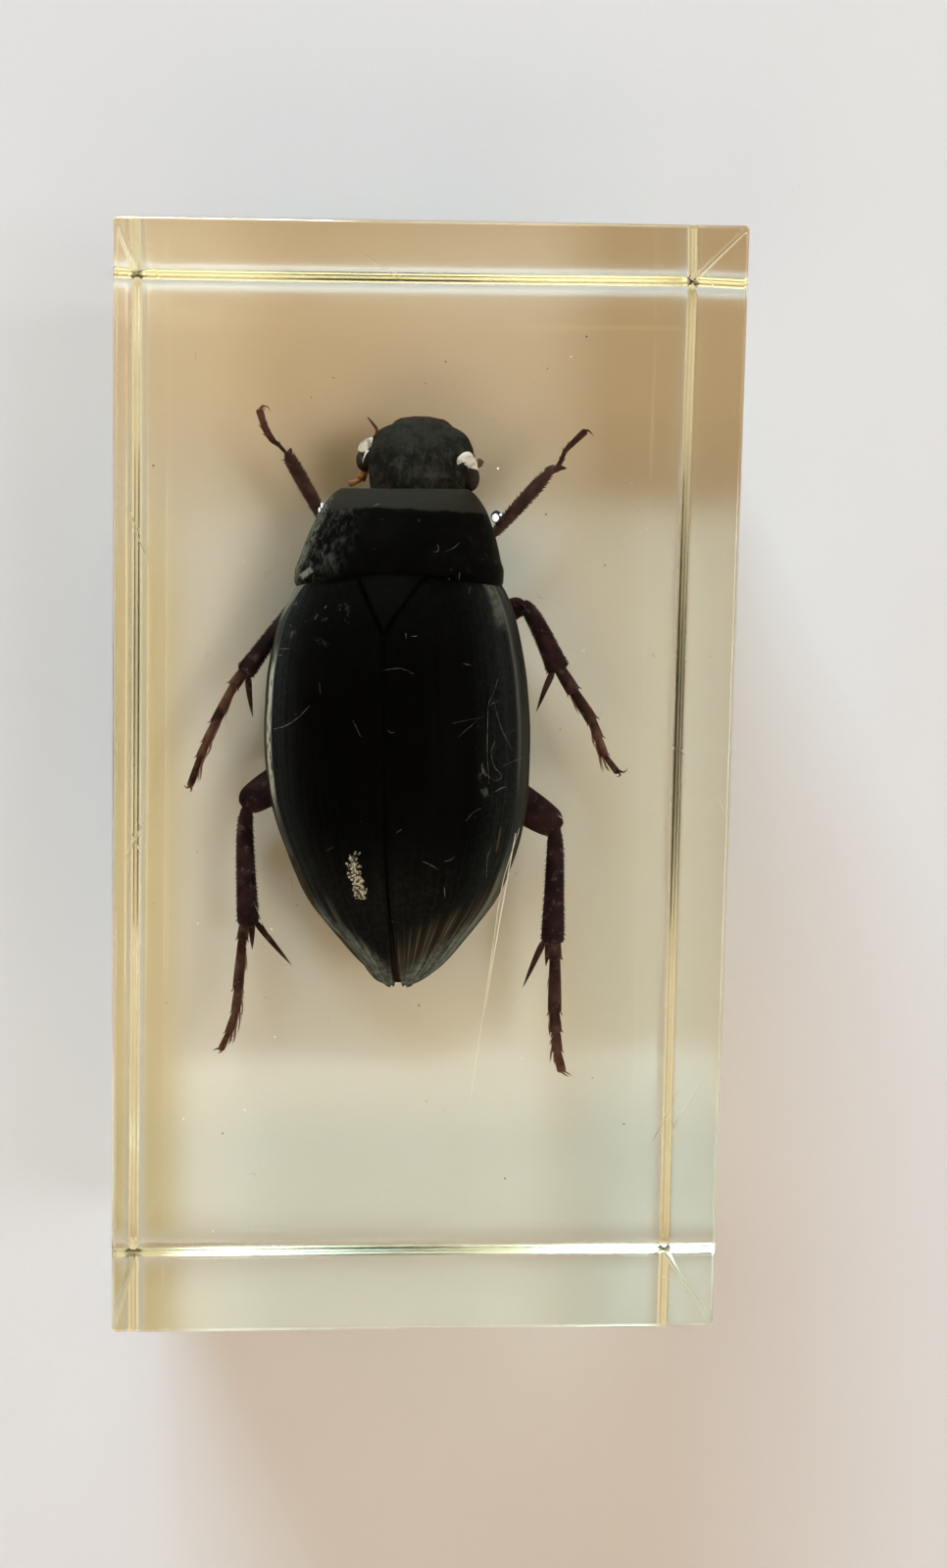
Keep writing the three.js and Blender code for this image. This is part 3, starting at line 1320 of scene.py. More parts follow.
THORAX_HALF_WIDTH = [
    (-0.35, 6.7), (0.0, 7.3), (0.4, 7.42), (1.1, 7.4), (1.8, 7.15), (2.6, 6.92), (3.4, 6.65),
    (4.2, 6.33), (5.1, 5.93), (5.8, 5.45), (6.3, 5.0), (6.55, 4.6),
]
THORAX_HEIGHT = [(-0.35, 5.2), (0.0, 5.5), (2.0, 5.35), (4.5, 4.7), (6.1, 3.9), (6.55, 3.3)]
THORAX_DEPTH = [(-0.35, 3.2), (0.5, 3.7), (3.0, 3.4), (5.5, 2.6), (6.55, 1.9)]
HEAD_HALF_WIDTH = [
    (-1.2, 3.0), (0.0, 3.45), (1.2, 3.6), (2.4, 3.8), (2.9, 3.72), (3.4, 3.5), (3.8, 3.27), (4.1, 2.92),
    (4.35, 2.46), (4.56, 1.95), (4.74, 1.46), (4.87, 1.0), (4.94, 0.6), (4.97, 0.25),
]
HEAD_HEIGHT = [(-1.2, 2.3), (0.0, 2.35), (1.5, 2.2), (3.0, 1.6), (4.2, 0.85), (4.97, 0.2)]
HEAD_DEPTH = [(-1.2, 1.5), (1.0, 1.7), (3.0, 1.2), (4.2, 0.6), (4.97, 0.15)]
LIP_HALF_WIDTH = [(3.4, 2.6), (4.2, 2.4), (4.6, 2.1), (4.85, 1.8), (5.05, 1.4), (5.15, 0.6)]
LIP_HEIGHT = [(3.4, 0.3), (5.15, 0.08)]
LIP_DEPTH = [(3.4, 0.35), (5.15, 0.1)]
SHELL_POWER = 0.9  # squareness of the sections of head and fore body


def shell(section, widths, heights, depths, sides, steps, bow=None):
    """A closed section of body: rings from tail to head, higher above than below."""
    start_y, end_y = widths[0][0], widths[-1][0]
    width, height, depth = curve(widths), curve(heights), curve(depths)
    thing = Rods.new(sides, steps)

    def place(co):
        y = start_y + (end_y - start_y) * co.z
        angle = math.atan2(co.x, co.y)
        x = width(y) * signed_power(math.sin(angle), SHELL_POWER)
        rise = signed_power(math.cos(angle), SHELL_POWER)
        z = rise * (height(y) if rise > 0 else depth(y))
        if bow:
            y += bow(x / width(y), rise, co.z)
        return section @ Vector((x, y, z))

    return carry(thing, place)


class RESIN_OT_fore_body(bpy.types.Operator):
    """Make the fore body: back plate and breast plate in one ring"""

    bl_idname = "resin_beetle.fore_body"
    bl_label = "Fore body"

    def execute(self, context):
        look = context.scene.resin_beetle

        def bow(across, rise, along):
            hind = (1 - along) * 0.95 * (1 - across**2) * smooth(-0.1, 0.5, rise)
            front = along * 0.25 * across**4 * smooth(-0.2, 0.4, rise)
            return hind + front

        fore = shell(THORAX, THORAX_HALF_WIDTH, THORAX_HEIGHT, THORAX_DEPTH, 96, 48, bow)
        finish_piece(fore, "pronotum", fore_cuticle(look))
        return {"FINISHED"}


class RESIN_OT_head(bpy.types.Operator):
    """Make the head capsule and the lip before it"""

    bl_idname = "resin_beetle.head"
    bl_label = "Head"

    def execute(self, context):
        look = context.scene.resin_beetle
        capsule = shell(HEAD, HEAD_HALF_WIDTH, HEAD_HEIGHT, HEAD_DEPTH, 64, 40)
        finish_piece(capsule, "head_capsule", head_cuticle(look))
        lowered = HEAD @ Matrix.Translation((0, 0, -0.15))
        lip = shell(lowered, LIP_HALF_WIDTH, LIP_HEIGHT, LIP_DEPTH, 40, 12)
        finish_piece(lip, "labrum", horn("lip_cuticle"))
        return {"FINISHED"}


EYES = (("eye_left", (-3.92, 1.95, -0.1), 0.74), ("eye_right", (3.55, 0.85, 0.25), 0.86))
EYE_SHAPE = Vector((0.86, 1.12, 0.9))


class RESIN_OT_eyes(bpy.types.Operator):
    """Make both compound eyes"""

    bl_idname = "resin_beetle.eyes"
    bl_label = "Eyes"

    def execute(self, context):
        material = eye_lens(context.scene.resin_beetle)
        for name, centre, radius in EYES:
            eye = start(bpy.ops.mesh.primitive_uv_sphere_add, segments=40, ring_count=24, radius=radius)
            carry(eye, lambda co: HEAD @ (Vector(centre) + EYE_SHAPE * co))
            finish_piece(eye, name, material)
        return {"FINISHED"}


# ---------------------------------------------------------------- feelers and mouthparts


PALPS = {
    "palp_left": [
        (-1.5, 23.6, 8.6), (-2.9, 22.9, 8.8), (-3.7, 22.12, 9.2), (-4.02, 21.5, 9.3),
        (-4.85, 21.15, 9.3),
    ],
    "palp_right": [
        (1.9, 23.4, 8.8), (2.9, 22.4, 8.4), (3.2, 21.2, 8.4), (2.7, 20.2, 8.3), (1.9, 19.6, 8.0),
    ],
}
PALP_RADII = (0.2, 0.27, 0.33, 0.25)
JAW = [(1.9, 3.1, -0.6), (1.75, 4.0, -0.65), (0.95, 4.6, -0.65), (0.1, 4.6, -0.6)]
JAW_HALF = [(0, 0.5), (0.5, 0.38), (0.9, 0.15), (1, 0.04)]
FEELER_LEFT = [
    (-3.15, 23.3, 9.6), (-3.0, 24.1, 9.9), (-2.95, 24.8, 10.3), (-3.25, 25.25, 10.6),
    (-3.62, 25.65, 10.8),
]
FEELER_HALF = [(0, 0.16), (0.3, 0.09), (0.6, 0.11), (0.9, 0.07), (1, 0.03)]
FEELER_RIGHT = [(2.9, 23.6, 9.3), (3.6, 23.5, 9.4), (4.0, 23.2, 9.5)]
CLUB = [(3.98, 22.55, 9.7), (4.1, 22.62, 9.8), (4.24, 22.7, 9.8), (4.38, 22.8, 9.8), (4.48, 22.93, 9.8)]


def scaled(profile, size):
    """A profile of (place, share) knots at a given size."""
    return [(place, size * share) for place, share in profile]


def chain(line, radii, waist=0.55, sides=12, lap=0.5):
    """Joints end to end along a line, each wider towards its far end and lapping the next."""
    profile = [(0, waist), (0.12, 0.25 + 0.75 * waist), (0.9, 1), (0.965, 0.95), (1, 0.5)]
    joints = []
    for a, b, radius in zip(line, line[1:], radii):
        along = (b - a).normalized() * radius * lap
        joints.append(limb([a - along, b + along * 0.5], scaled(profile, radius), sides=sides, steps=14))
    return joints


class RESIN_OT_mouthparts(bpy.types.Operator):
    """Make the jaws, palps and feelers"""

    bl_idname = "resin_beetle.mouthparts"
    bl_label = "Mouthparts and feelers"

    def execute(self, context):
        jaws = []
        for side in (-1, 1):
            spine = [HEAD @ Vector((side * x, y, z)) for x, y, z in JAW]
            jaws.append(limb(spine, JAW_HALF, sides=12, steps=16))
        finish_parts(jaws, "mandibles", horn("maroon_cuticle"))
        amber = amber_cuticle(context.scene.resin_beetle)
        for name, line in PALPS.items():
            finish_parts(chain(points(line), PALP_RADII), name, amber)
        brown = horn("feeler_cuticle")
        stalk = limb(FEELER_LEFT, FEELER_HALF, sides=10, steps=24)
        finish_piece(stalk, "antenna_left", brown)
        joints = chain(points(FEELER_RIGHT), (0.12, 0.12))
        joints += chain(points(CLUB), (0.16, 0.25, 0.3, 0.24), waist=0.85)
        finish_parts(joints, "antenna_right", brown)
        return {"FINISHED"}


# ---------------------------------------------------------------- underside


HIND_BODY_TAIL, HIND_BODY_FRONT = -14.55, 14.9
BELLY_SEAMS = (1.2, -2.6, -5.4, -7.9, -10.2, -14.6)
KEEL = [
    (0, 18.2, -2.6), (0, 15.0, -4.3), (0, 10.0, -5.3), (0, 4.0, -5.45), (0, 0.0, -5.2),
    (0, -3.4, -4.75),
]
KEEL_HALF_WIDTH = [(0, 0.1), (0.06, 0.45), (0.3, 0.75), (0.6, 0.7), (0.8, 0.42), (0.93, 0.2), (1, 0.03)]
KEEL_HALF_DEPTH = [(0, 0.15), (0.1, 0.6), (0.5, 0.85), (0.8, 0.42), (1, 0.03)]


def belly_lap(y):
    """How far the belly plate at y stands proud: each laps a little over the next."""
    for front, back in zip(BELLY_SEAMS, BELLY_SEAMS[1:]):
        if back < y <= front:
            t = (front - y) / (front - back)
            return 0.16 * t * smooth(1.0, 0.94, t)
    return 0.0


class RESIN_OT_hind_body(bpy.types.Operator):
    """Make the hind body: breast and five belly plates under the wing cases"""

    bl_idname = "resin_beetle.hind_body"
    bl_label = "Hind body"

    def execute(self, context):
        look = context.scene.resin_beetle
        body = Rods.new(72, 150)

        def place(co):
            y = HIND_BODY_TAIL + (HIND_BODY_FRONT - HIND_BODY_TAIL) * co.z
            angle = math.atan2(co.x, co.y)
            width = max(half_width(y) - 0.55, 0.05) * smooth(-14.9, -13.6, y) ** 0.5
            rise = signed_power(math.cos(angle), 0.9)
            x = width * signed_power(math.sin(angle), 0.85)
            if rise > 0:
                z = rise * (back_height(y) - 0.6) * smooth(-15.2, -12.5, y)
            else:
                z = rise * (belly_depth(y) + belly_lap(y)) - 0.2
            return HIND @ Vector((x, y, z))

        carry(body, place)
        finish_piece(body, "hind_body", belly_cuticle(look))
        return {"FINISHED"}


class RESIN_OT_keel(bpy.types.Operator):
    """Make the long breast keel with its backward spine"""

    bl_idname = "resin_beetle.keel"
    bl_label = "Breast keel"

    def execute(self, context):
        line = [HIND @ Vector(p) for p in KEEL]
        keel = limb(line, KEEL_HALF_WIDTH, KEEL_HALF_DEPTH, sides=16, steps=48)
        finish_piece(keel, "breast_keel", horn("maroon_cuticle"))
        return {"FINISHED"}


# ---------------------------------------------------------------- legs


LEGS = {
    "fore_left": {
        "coxa": [(-2.2, 17.6, 7.6), (-3.2, 17.2, 6.6)],
        "femur": [(-2.9, 17.5, 6.8), (-4.6, 17.2, 6.9), (-6.15, 17.9, 7.4)],
        "femur_half": 0.75,
        "tibia": [(-6.1, 17.85, 7.4), (-7.0, 19.4, 7.6), (-9.3, 23.35, 7.8)],
        "tibia_half": [(0, 0.2), (0.06, 0.34), (0.3, 0.42), (0.7, 0.47), (0.93, 0.42), (1, 0.2)],
        "tarsus": [
            (-9.3, 23.3, 7.8), (-9.85, 23.88, 7.8), (-10.28, 24.21, 7.85), (-10.63, 24.66, 7.9),
            (-10.9, 25.2, 7.9), (-11.22, 26.25, 8.0),
        ],
        "tarsus_half": (0.14, 0.17, 0.25, 0.26, 0.27),
        "claws": [
            [(-11.22, 26.2, 8.0), (-11.0, 26.56, 8.05), (-10.68, 26.53, 8.0), (-10.46, 26.22, 7.95)],
            [(-11.15, 26.15, 7.95), (-11.22, 26.42, 7.7), (-11.0, 26.5, 7.5), (-10.8, 26.3, 7.4)],
        ],
        "spurs": [[(-9.15, 23.2, 7.7), (-9.0, 23.75, 7.6)]],
    },
    "fore_right": {
        "coxa": [(0.6, 17.4, 8.0), (1.5, 17.0, 7.2)],
        "femur": [(1.3, 17.2, 7.5), (3.4, 16.8, 7.9), (5.35, 17.6, 8.4)],
        "femur_half": 0.75,
        "tibia": [(5.2, 17.55, 8.4), (6.4, 18.9, 8.6), (9.55, 22.45, 9.0)],
        "tibia_half": [(0, 0.2), (0.1, 0.33), (0.45, 0.46), (0.75, 0.47), (0.93, 0.33), (1, 0.18)],
        "tarsus": [
            (9.6, 22.3, 9.0), (10.05, 22.7, 9.0), (10.25, 23.15, 9.0), (10.48, 23.75, 9.05),
            (10.8, 24.15, 9.1), (11.88, 25.18, 9.2),
        ],
        "tarsus_half": (0.22, 0.17, 0.17, 0.2, 0.25),
        "claws": [
            [(11.85, 25.15, 9.2), (12.05, 25.25, 9.25), (12.28, 25.12, 9.2), (12.48, 24.88, 9.15)],
            [(11.8, 25.15, 9.15), (11.98, 25.15, 8.95), (12.1, 24.98, 8.8)],
        ],
        "spurs": [
            [(9.75, 22.45, 8.9), (10.25, 22.62, 8.85), (10.68, 22.6, 8.8)],
            [(9.2, 22.35, 9.0), (9.75, 22.82, 9.05)],
        ],
    },
    "mid_left": {
        "coxa": [(-3.6, 9.9, 6.9), (-4.9, 9.2, 5.9)],
        "femur": [(-4.6, 9.5, 6.0), (-6.6, 11.2, 6.2), (-8.5, 13.0, 6.9)],
        "femur_half": 0.95,
        "tibia": [(-8.35, 13.1, 6.9), (-9.8, 11.15, 7.0), (-12.35, 7.65, 7.2)],
        "tibia_half": [
            (0, 0.25), (0.08, 0.42), (0.4, 0.52), (0.75, 0.6), (0.94, 0.68), (0.985, 0.62), (1, 0.4),
        ],
        "tarsus": [
            (-12.3, 7.9, 7.2), (-13.05, 6.85, 7.2), (-14.45, 4.05, 7.3), (-15.05, 2.7, 7.35),
            (-15.5, 1.6, 7.4), (-16.2, -0.5, 7.5),
        ],
        "tarsus_half": (0.45, 0.38, 0.32, 0.3, 0.25),
        "claws": [
            [(-16.15, -0.45, 7.5), (-16.4, -0.62, 7.6), (-16.62, -0.4, 7.55)],
            [(-16.15, -0.45, 7.45), (-16.1, -0.8, 7.3), (-16.25, -0.95, 7.1)],
        ],
        "spurs": [
            [(-12.05, 7.45, 7.1), (-11.95, 6.2, 7.0), (-11.72, 4.55, 6.9)],
            [(-12.6, 7.4, 6.7), (-13.3, 5.9, 6.4)],
        ],
        "fringe": 1,
    },
    "mid_right": {
        "coxa": [(1.3, 9.6, 7.7), (2.6, 9.0, 6.9)],
        "femur": [(2.3, 9.3, 7.0), (5.2, 11.6, 7.6), (7.9, 13.0, 8.4)],
        "femur_half": 0.9,
        "tibia": [(7.75, 13.1, 8.4), (8.75, 11.6, 8.5), (10.45, 8.15, 8.7)],
        "tibia_half": [
            (0, 0.3), (0.08, 0.5), (0.35, 0.6), (0.75, 0.72), (0.94, 0.82), (0.985, 0.76), (1, 0.5),
        ],
        "tarsus": [
            (10.35, 8.5, 8.7), (11.5, 6.75, 8.7), (12.92, 4.62, 8.8), (13.42, 3.35, 8.85),
            (13.87, 2.1, 8.85), (14.85, 0.85, 8.9),
        ],
        "tarsus_half": (0.52, 0.45, 0.38, 0.33, 0.24),
        "claws": [
            [(14.9, 0.98, 8.9), (15.3, 0.85, 9.0), (15.62, 1.1, 8.95)],
            [(14.9, 0.95, 8.85), (15.1, 0.6, 8.75), (14.85, 0.48, 8.6)],
        ],
        "spurs": [
            [(10.0, 8.1, 8.6), (9.5, 6.9, 8.5), (8.88, 5.2, 8.4)],
            [(10.8, 7.9, 8.2), (11.6, 6.4, 8.0)],
        ],
        "fringe": -1,
    },
    "hind_left": {
        "coxa": [(-3.0, 3.6, 6.6), (-5.2, 2.9, 5.9)],
        "femur": [(-4.0, 3.1, 6.0), (-7.5, 1.4, 6.2), (-10.5, -0.65, 6.8), (-12.5, -1.95, 7.1)],
        "femur_half": 1.3,
        "tibia": [(-12.1, -1.9, 7.1), (-12.25, -3.8, 7.15), (-12.0, -10.75, 7.2)],
        "tibia_half": [
            (0, 0.28), (0.05, 0.46), (0.25, 0.6), (0.6, 0.7), (0.94, 0.79), (0.985, 0.74), (1, 0.5),
        ],
        "tarsus": [
            (-12.2, -10.2, 7.2), (-12.42, -11.7, 7.2), (-12.75, -15.5, 7.25), (-12.9, -17.1, 7.3),
            (-13.4, -18.7, 7.3), (-13.95, -19.95, 7.35),
        ],
        "tarsus_half": (0.42, 0.4, 0.34, 0.3, 0.25),
        "claws": [
            [(-13.9, -19.9, 7.35), (-14.25, -19.9, 7.45), (-14.55, -20.05, 7.4)],
            [(-13.9, -19.9, 7.3), (-14.0, -20.2, 7.15), (-14.2, -20.3, 7.0)],
        ],
        "spurs": [
            [(-11.45, -10.5, 7.15), (-10.3, -11.95, 7.1), (-8.85, -13.7, 7.0)],
            [(-11.75, -10.6, 6.9), (-11.72, -12.6, 6.7)],
        ],
        "fringe": 1,
    },
    "hind_right": {
        "coxa": [(0.9, 3.4, 7.2), (3.2, 2.8, 6.7)],
        "femur": [(2.2, 3.0, 6.8), (5.2, 0.5, 7.5), (8.2, -1.7, 8.3), (10.75, -3.35, 8.8)],
        "femur_half": 1.36,
        "tibia": [(10.3, -3.0, 8.8), (10.42, -5.0, 8.85), (10.35, -11.9, 8.9)],
        "tibia_half": [
            (0, 0.3), (0.05, 0.48), (0.25, 0.62), (0.6, 0.73), (0.94, 0.84), (0.985, 0.78), (1, 0.5),
        ],
        "tarsus": [
            (10.48, -11.4, 8.9), (10.55, -12.9, 8.9), (10.6, -17.0, 8.95), (10.72, -18.35, 8.95),
            (10.85, -19.85, 9.0), (11.2, -21.35, 9.0),
        ],
        "tarsus_half": (0.52, 0.51, 0.45, 0.4, 0.34),
        "claws": [
            [(11.1, -21.25, 9.0), (11.5, -21.45, 9.1), (11.95, -21.75, 9.05)],
            [(11.1, -21.25, 8.95), (11.4, -21.65, 8.8), (11.8, -21.9, 8.6)],
        ],
        "spurs": [
            [(9.7, -11.7, 8.8), (9.05, -13.2, 8.7), (8.25, -15.15, 8.6)],
            [(10.1, -11.8, 8.5), (9.95, -13.6, 8.3)],
        ],
        "fringe": -1,
    },
}


HIP_HALF = [(0, 0.4), (0.3, 1.0), (0.7, 1.05), (1, 0.4)]
THIGH_HALF = [(0, 0.4), (0.1, 0.8), (0.4, 1), (0.75, 0.97), (0.92, 0.82), (0.98, 0.55), (1, 0.3)]
THIGH_FLATNESS = 0.55
SPUR_HALF = [(0, 0.16), (0.12, 0.25), (0.6, 0.17), (1, 0.02)]
CLAW_HALF = [(0, 0.1), (0.4, 0.07), (1, 0.015)]
SPINE_RADIUS = 0.055
SPINES_PER_ROW = 26
HAIRS_PER_FRINGE, HAIRS_PER_WISP = 110, 5
HAIR_HALF = [(0, 0.03), (0.6, 0.022), (1, 0.005)]


def femur_shape(leg):
    """Hip and thigh of one leg."""
    breadth = scaled(THIGH_HALF, leg["femur_half"])
    hip = limb(leg["coxa"], HIP_HALF, sides=20, steps=16)
    return [hip, limb(leg["femur"], breadth, scaled(breadth, THIGH_FLATNESS), sides=24, steps=36)]


def bristle(root, tip, radius):
    """One short spine or hair, from its root to its tip."""
    middle = (root + tip) / 2
    return limb([root, middle, tip], scaled([(0, 1), (0.6, 0.7), (1, 0.1)], radius), sides=5, steps=3)


def tibia_shape(leg, dice):
    """Shin with its rows of short spines."""
    line = leg["tibia"]
    half = leg["tibia_half"]
    shin = limb(line, half, [(place, 0.32 + 0.25 * size) for place, size in half], sides=20, steps=48)
    spine, breadth = path(line), curve(half)
    parts = [shin]
    for side in (-1, 1):
        for i in range(SPINES_PER_ROW):
            t = 0.08 + 0.88 * (i + dice.random() * 0.5) / SPINES_PER_ROW
            ahead = (spine(min(t + 0.02, 1)) - spine(t - 0.02)).normalized()
            out = ahead.cross(UP) * side
            root = spine(t) + out * (breadth(t) - 0.06)
            tip = root + out * dice.uniform(0.13, 0.21) + ahead * 0.22 + UP * dice.uniform(-0.08, 0.08)
            parts.append(bristle(root, tip, SPINE_RADIUS))
    return parts


def tarsus_shape(leg):
    """Two spurs, five foot joints with a spine at each side of their ends, and two claws."""
    line = points(leg["tarsus"])
    parts = chain(line, leg["tarsus_half"], waist=0.72, sides=16, lap=0.9)
    for a, b, radius in zip(line, line[1:-1], leg["tarsus_half"]):
        ahead = (b - a).normalized()
        for side in (-1, 1):
            out = ahead.cross(UP) * side
            root = b + out * (radius - 0.05)
            parts.append(bristle(root, root + out * 0.13 + ahead * 0.24, SPINE_RADIUS))
    parts += [limb(spur, SPUR_HALF, sides=10, steps=16) for spur in leg["spurs"]]
    parts += [limb(claw, CLAW_HALF, sides=8, steps=14) for claw in leg["claws"]]
    return parts


def fringe_shape(leg, dice):
    """Long swimming hairs down the inner side of a foot, lying together in wisps."""
    spine = path(leg["tarsus"])
    hairs = []
    for i in range(HAIRS_PER_FRINGE):
        wisp = random.Random(i // HAIRS_PER_WISP + 1)
        spread, lift = wisp.uniform(0.05, 0.38), wisp.uniform(-0.2, 0.14)
        t = 0.02 + 0.86 * (i + dice.random()) / HAIRS_PER_FRINGE
        ahead = (spine(t + 0.03) - spine(t)).normalized()
        inner = ahead.cross(UP) * -leg["fringe"]
        root = spine(t) + inner * 0.2
        length = wisp.uniform(1.0, 2.3) * (1 - 0.35 * t) * dice.uniform(0.85, 1.1)
        lean = inner * (spread + dice.uniform(-0.04, 0.04)) + UP * (lift + dice.uniform(-0.05, 0.05))
        bend = root + (ahead + lean).normalized() * length * 0.5
        tip = bend + (ahead + lean * wisp.uniform(-0.3, 0.6)).normalized() * length * 0.5
        hairs.append(limb([root, bend, tip], HAIR_HALF, sides=4, steps=5))
    return hairs


class RESIN_OT_legs(bpy.types.Operator):
    """Make six legs, each a thigh, a shin and a foot, with the swimming fringes"""

    bl_idname = "resin_beetle.legs"
    bl_label = "Legs"

    def execute(self, context):
        look = context.scene.resin_beetle
        leg_finish, foot_finish = leg_cuticle(look), leg_cuticle(look, foot=True)
        hair = swimming_hair()
        dice = random.Random(6)
        for name, leg in LEGS.items():
            for piece, parts, finish in (
                ("femur_" + name, femur_shape(leg), leg_finish),
                ("tibia_" + name, tibia_shape(leg, dice), leg_finish),
                ("tarsus_" + name, tarsus_shape(leg), foot_finish),
            ):
                finish_parts(parts, piece, finish)
            if "fringe" in leg:
                finish_parts(fringe_shape(leg, dice), "fringe_" + name, hair)
        return {"FINISHED"}


# ---------------------------------------------------------------- what else is cast in


# Air pockets, each of films given by a line, half widths along it and a half thickness.
AIR = {
    "air_eye_left": [
        (
            [(-3.28, 24.22, 10.7), (-3.55, 23.92, 10.9), (-3.85, 23.62, 10.9), (-4.2, 23.38, 10.7)],
            [(0, 0.08), (0.25, 0.22), (0.6, 0.33), (0.85, 0.27), (1, 0.08)],
            0.14,
        ),
        (
            [(-3.6, 23.35, 10.9), (-3.72, 23.05, 11.0), (-3.84, 22.75, 11.0), (-3.93, 22.45, 10.9)],
            [(0, 0.12), (0.4, 0.05), (0.8, 0.03), (1, 0.015)],
            0.05,
        ),
    ],
    "air_eye_right": [
        (
            [
                (2.66, 22.4, 12.0), (2.93, 22.76, 12.05), (3.25, 22.9, 11.8), (3.52, 22.72, 11.5),
                (3.8, 22.3, 11.2), (4.18, 21.8, 10.8),
            ],
            [(0, 0.05), (0.15, 0.24), (0.45, 0.48), (0.7, 0.36), (0.9, 0.16), (1, 0.03)],
            0.2,
        ),
    ],
}


# Round bubbles: place and half sizes. The first ones sit at the fore knees.
KNEE_BUBBLES = [
    ((5.44, 18.86, 11.2), (0.25, 0.28, 0.22)), ((5.82, 19.08, 11.1), (0.1, 0.09, 0.08)),
    ((-6.76, 19.5, 10.9), (0.08, 0.2, 0.1)), ((-6.93, 19.18, 10.8), (0.07, 0.18, 0.08)),
]
# dark shells round the right knee bubble: painted shade for the dark rim it shows
BUBBLE_RIM_SHADE = [
    ((5.53, 18.93, 10.95), (0.42, 0.44, 0.2)), ((5.9, 18.98, 10.85), (0.2, 0.22, 0.15)),
    ((5.72, 18.62, 10.8), (0.3, 0.34, 0.2)),
]
TINY_BUBBLES = 14
STRAY_BITS = 26
DUST_SPECKS = 110


def scattered(dice, x, y, low, high):
    """A chance place in the resin."""
    return Vector((dice.uniform(-x, x), dice.uniform(-y, y), dice.uniform(low, high)))


class RESIN_OT_bubbles(bpy.types.Operator):
    """Make the bubbles at the fore knees and the few tiny ones in the resin"""

    bl_idname = "resin_beetle.bubbles"
    bl_label = "Bubbles"

    def execute(self, context):
        dice = random.Random(31)
        tiny = []
        for _ in range(TINY_BUBBLES):
            tiny.append((scattered(dice, 17, 32, 2, 20), (dice.uniform(0.025, 0.07),) * 3))
        bubble = start(bpy.ops.mesh.primitive_ico_sphere_add, subdivisions=3, radius=1)
        shapes = []
        for at, half in KNEE_BUBBLES + BUBBLE_RIM_SHADE + tiny:
            shape = copy_of(bubble)
            centre, size = Vector(at), Vector(half)
            carry(shape, lambda co: centre + co * size * (1 + 0.12 * noise.noise(co * 1.3 + centre)))
            shapes.append(shape)
        discard(bubble)
        first, second = len(KNEE_BUBBLES), len(KNEE_BUBBLES) + len(BUBBLE_RIM_SHADE)
        knees, rim_shades, strays = shapes[:first], shapes[first:second], shapes[second:]
        material = air_bubble()
        # the dark shells are painted shade round the knee bubble
        finish_parts(rim_shades, "bubble_rim_shade_shells", bubble_rim_shade())
        finish_parts(knees, "air_knees", material)
        finish_parts(strays, "bubbles", material)
        return {"FINISHED"}


def wobble(co):
    """A small soft shift of a point, the same on every run."""
    shifts = [noise.noise(co * 2.3 + Vector((0, 0, apart))) for apart in (0.0, 17.3, 41.9)]
    return 0.09 * Vector(shifts)


class RESIN_OT_air(bpy.types.Operator):
    """Make the silvery air pockets by the eyes"""

    bl_idname = "resin_beetle.air"
    bl_label = "Air pockets"

    def execute(self, context):
        material = air_film(context.scene.resin_beetle)
        for name, pockets in AIR.items():
            films = []
            for line, breadth, thickness in pockets:
                depth = [(place, min(value, thickness)) for place, value in breadth]
                film = limb(line, breadth, depth, sides=24, steps=48)
                films.append(carry(film, lambda co: co + wobble(co)))
            finish_parts(films, name, material)
        return {"FINISHED"}


# The flake: its middle, half length and half width, then its outline and middle line along it.
FLAKE_Y, FLAKE_HALF_LENGTH, FLAKE_HALF_WIDTH, FLAKE_THICKNESS = -6.25, 1.72, 0.6, 0.05
flake_outline = curve([(-1, 0.5), (-0.8, 0.85), (0, 0.85), (0.4, 0.8), (0.65, 0.5), (1, 0.12)])
flake_middle = curve([(-1, -3.66), (-0.85, -3.74), (0, -4.08), (0.4, -4.2), (0.7, -4.12), (1, -4.02)])


def torn_away(centre):
    """Whether a face of the flake's sheet lies past its ragged edge or in one of its holes."""
    x, y, _ = centre
    edge = 0.92 * flake_outline(y) + 0.16 * noise.noise(Vector((0.0, y * 5, 4.0)))
    ragged = abs(x) + noise.noise(Vector((x * 3, y * 10, 7.0)))
    return ragged > edge or noise.noise(Vector((x * 9, y * 26, 2.0))) > 0.27


class RESIN_OT_flake(bpy.types.Operator):
    """Make the ragged pale flake over the left wing case"""

    bl_idname = "resin_beetle.flake"
    bl_label = "Flake"

    def execute(self, context):
        flake = sheet(30, 80)
        cut_faces(flake, torn_away)

        def place(co):
            at = (flake_middle(co.y) + co.x * FLAKE_HALF_WIDTH, FLAKE_Y + co.y * FLAKE_HALF_LENGTH, 14)
            x, y, _ = HIND.inverted() @ Vector(at)
            lift = 0.08 + 0.06 * noise.noise(Vector((co.x * 6, co.y * 16, 0)))
            return HIND @ Vector((x, y, back_top(x, y) + lift))

        carry(flake, place)
        modify(flake, "SOLIDIFY", thickness=FLAKE_THICKNESS, offset=1)
        finish_piece(flake, "pale_flake", chalky_flake(), smooth_angle=20)
        return {"FINISHED"}


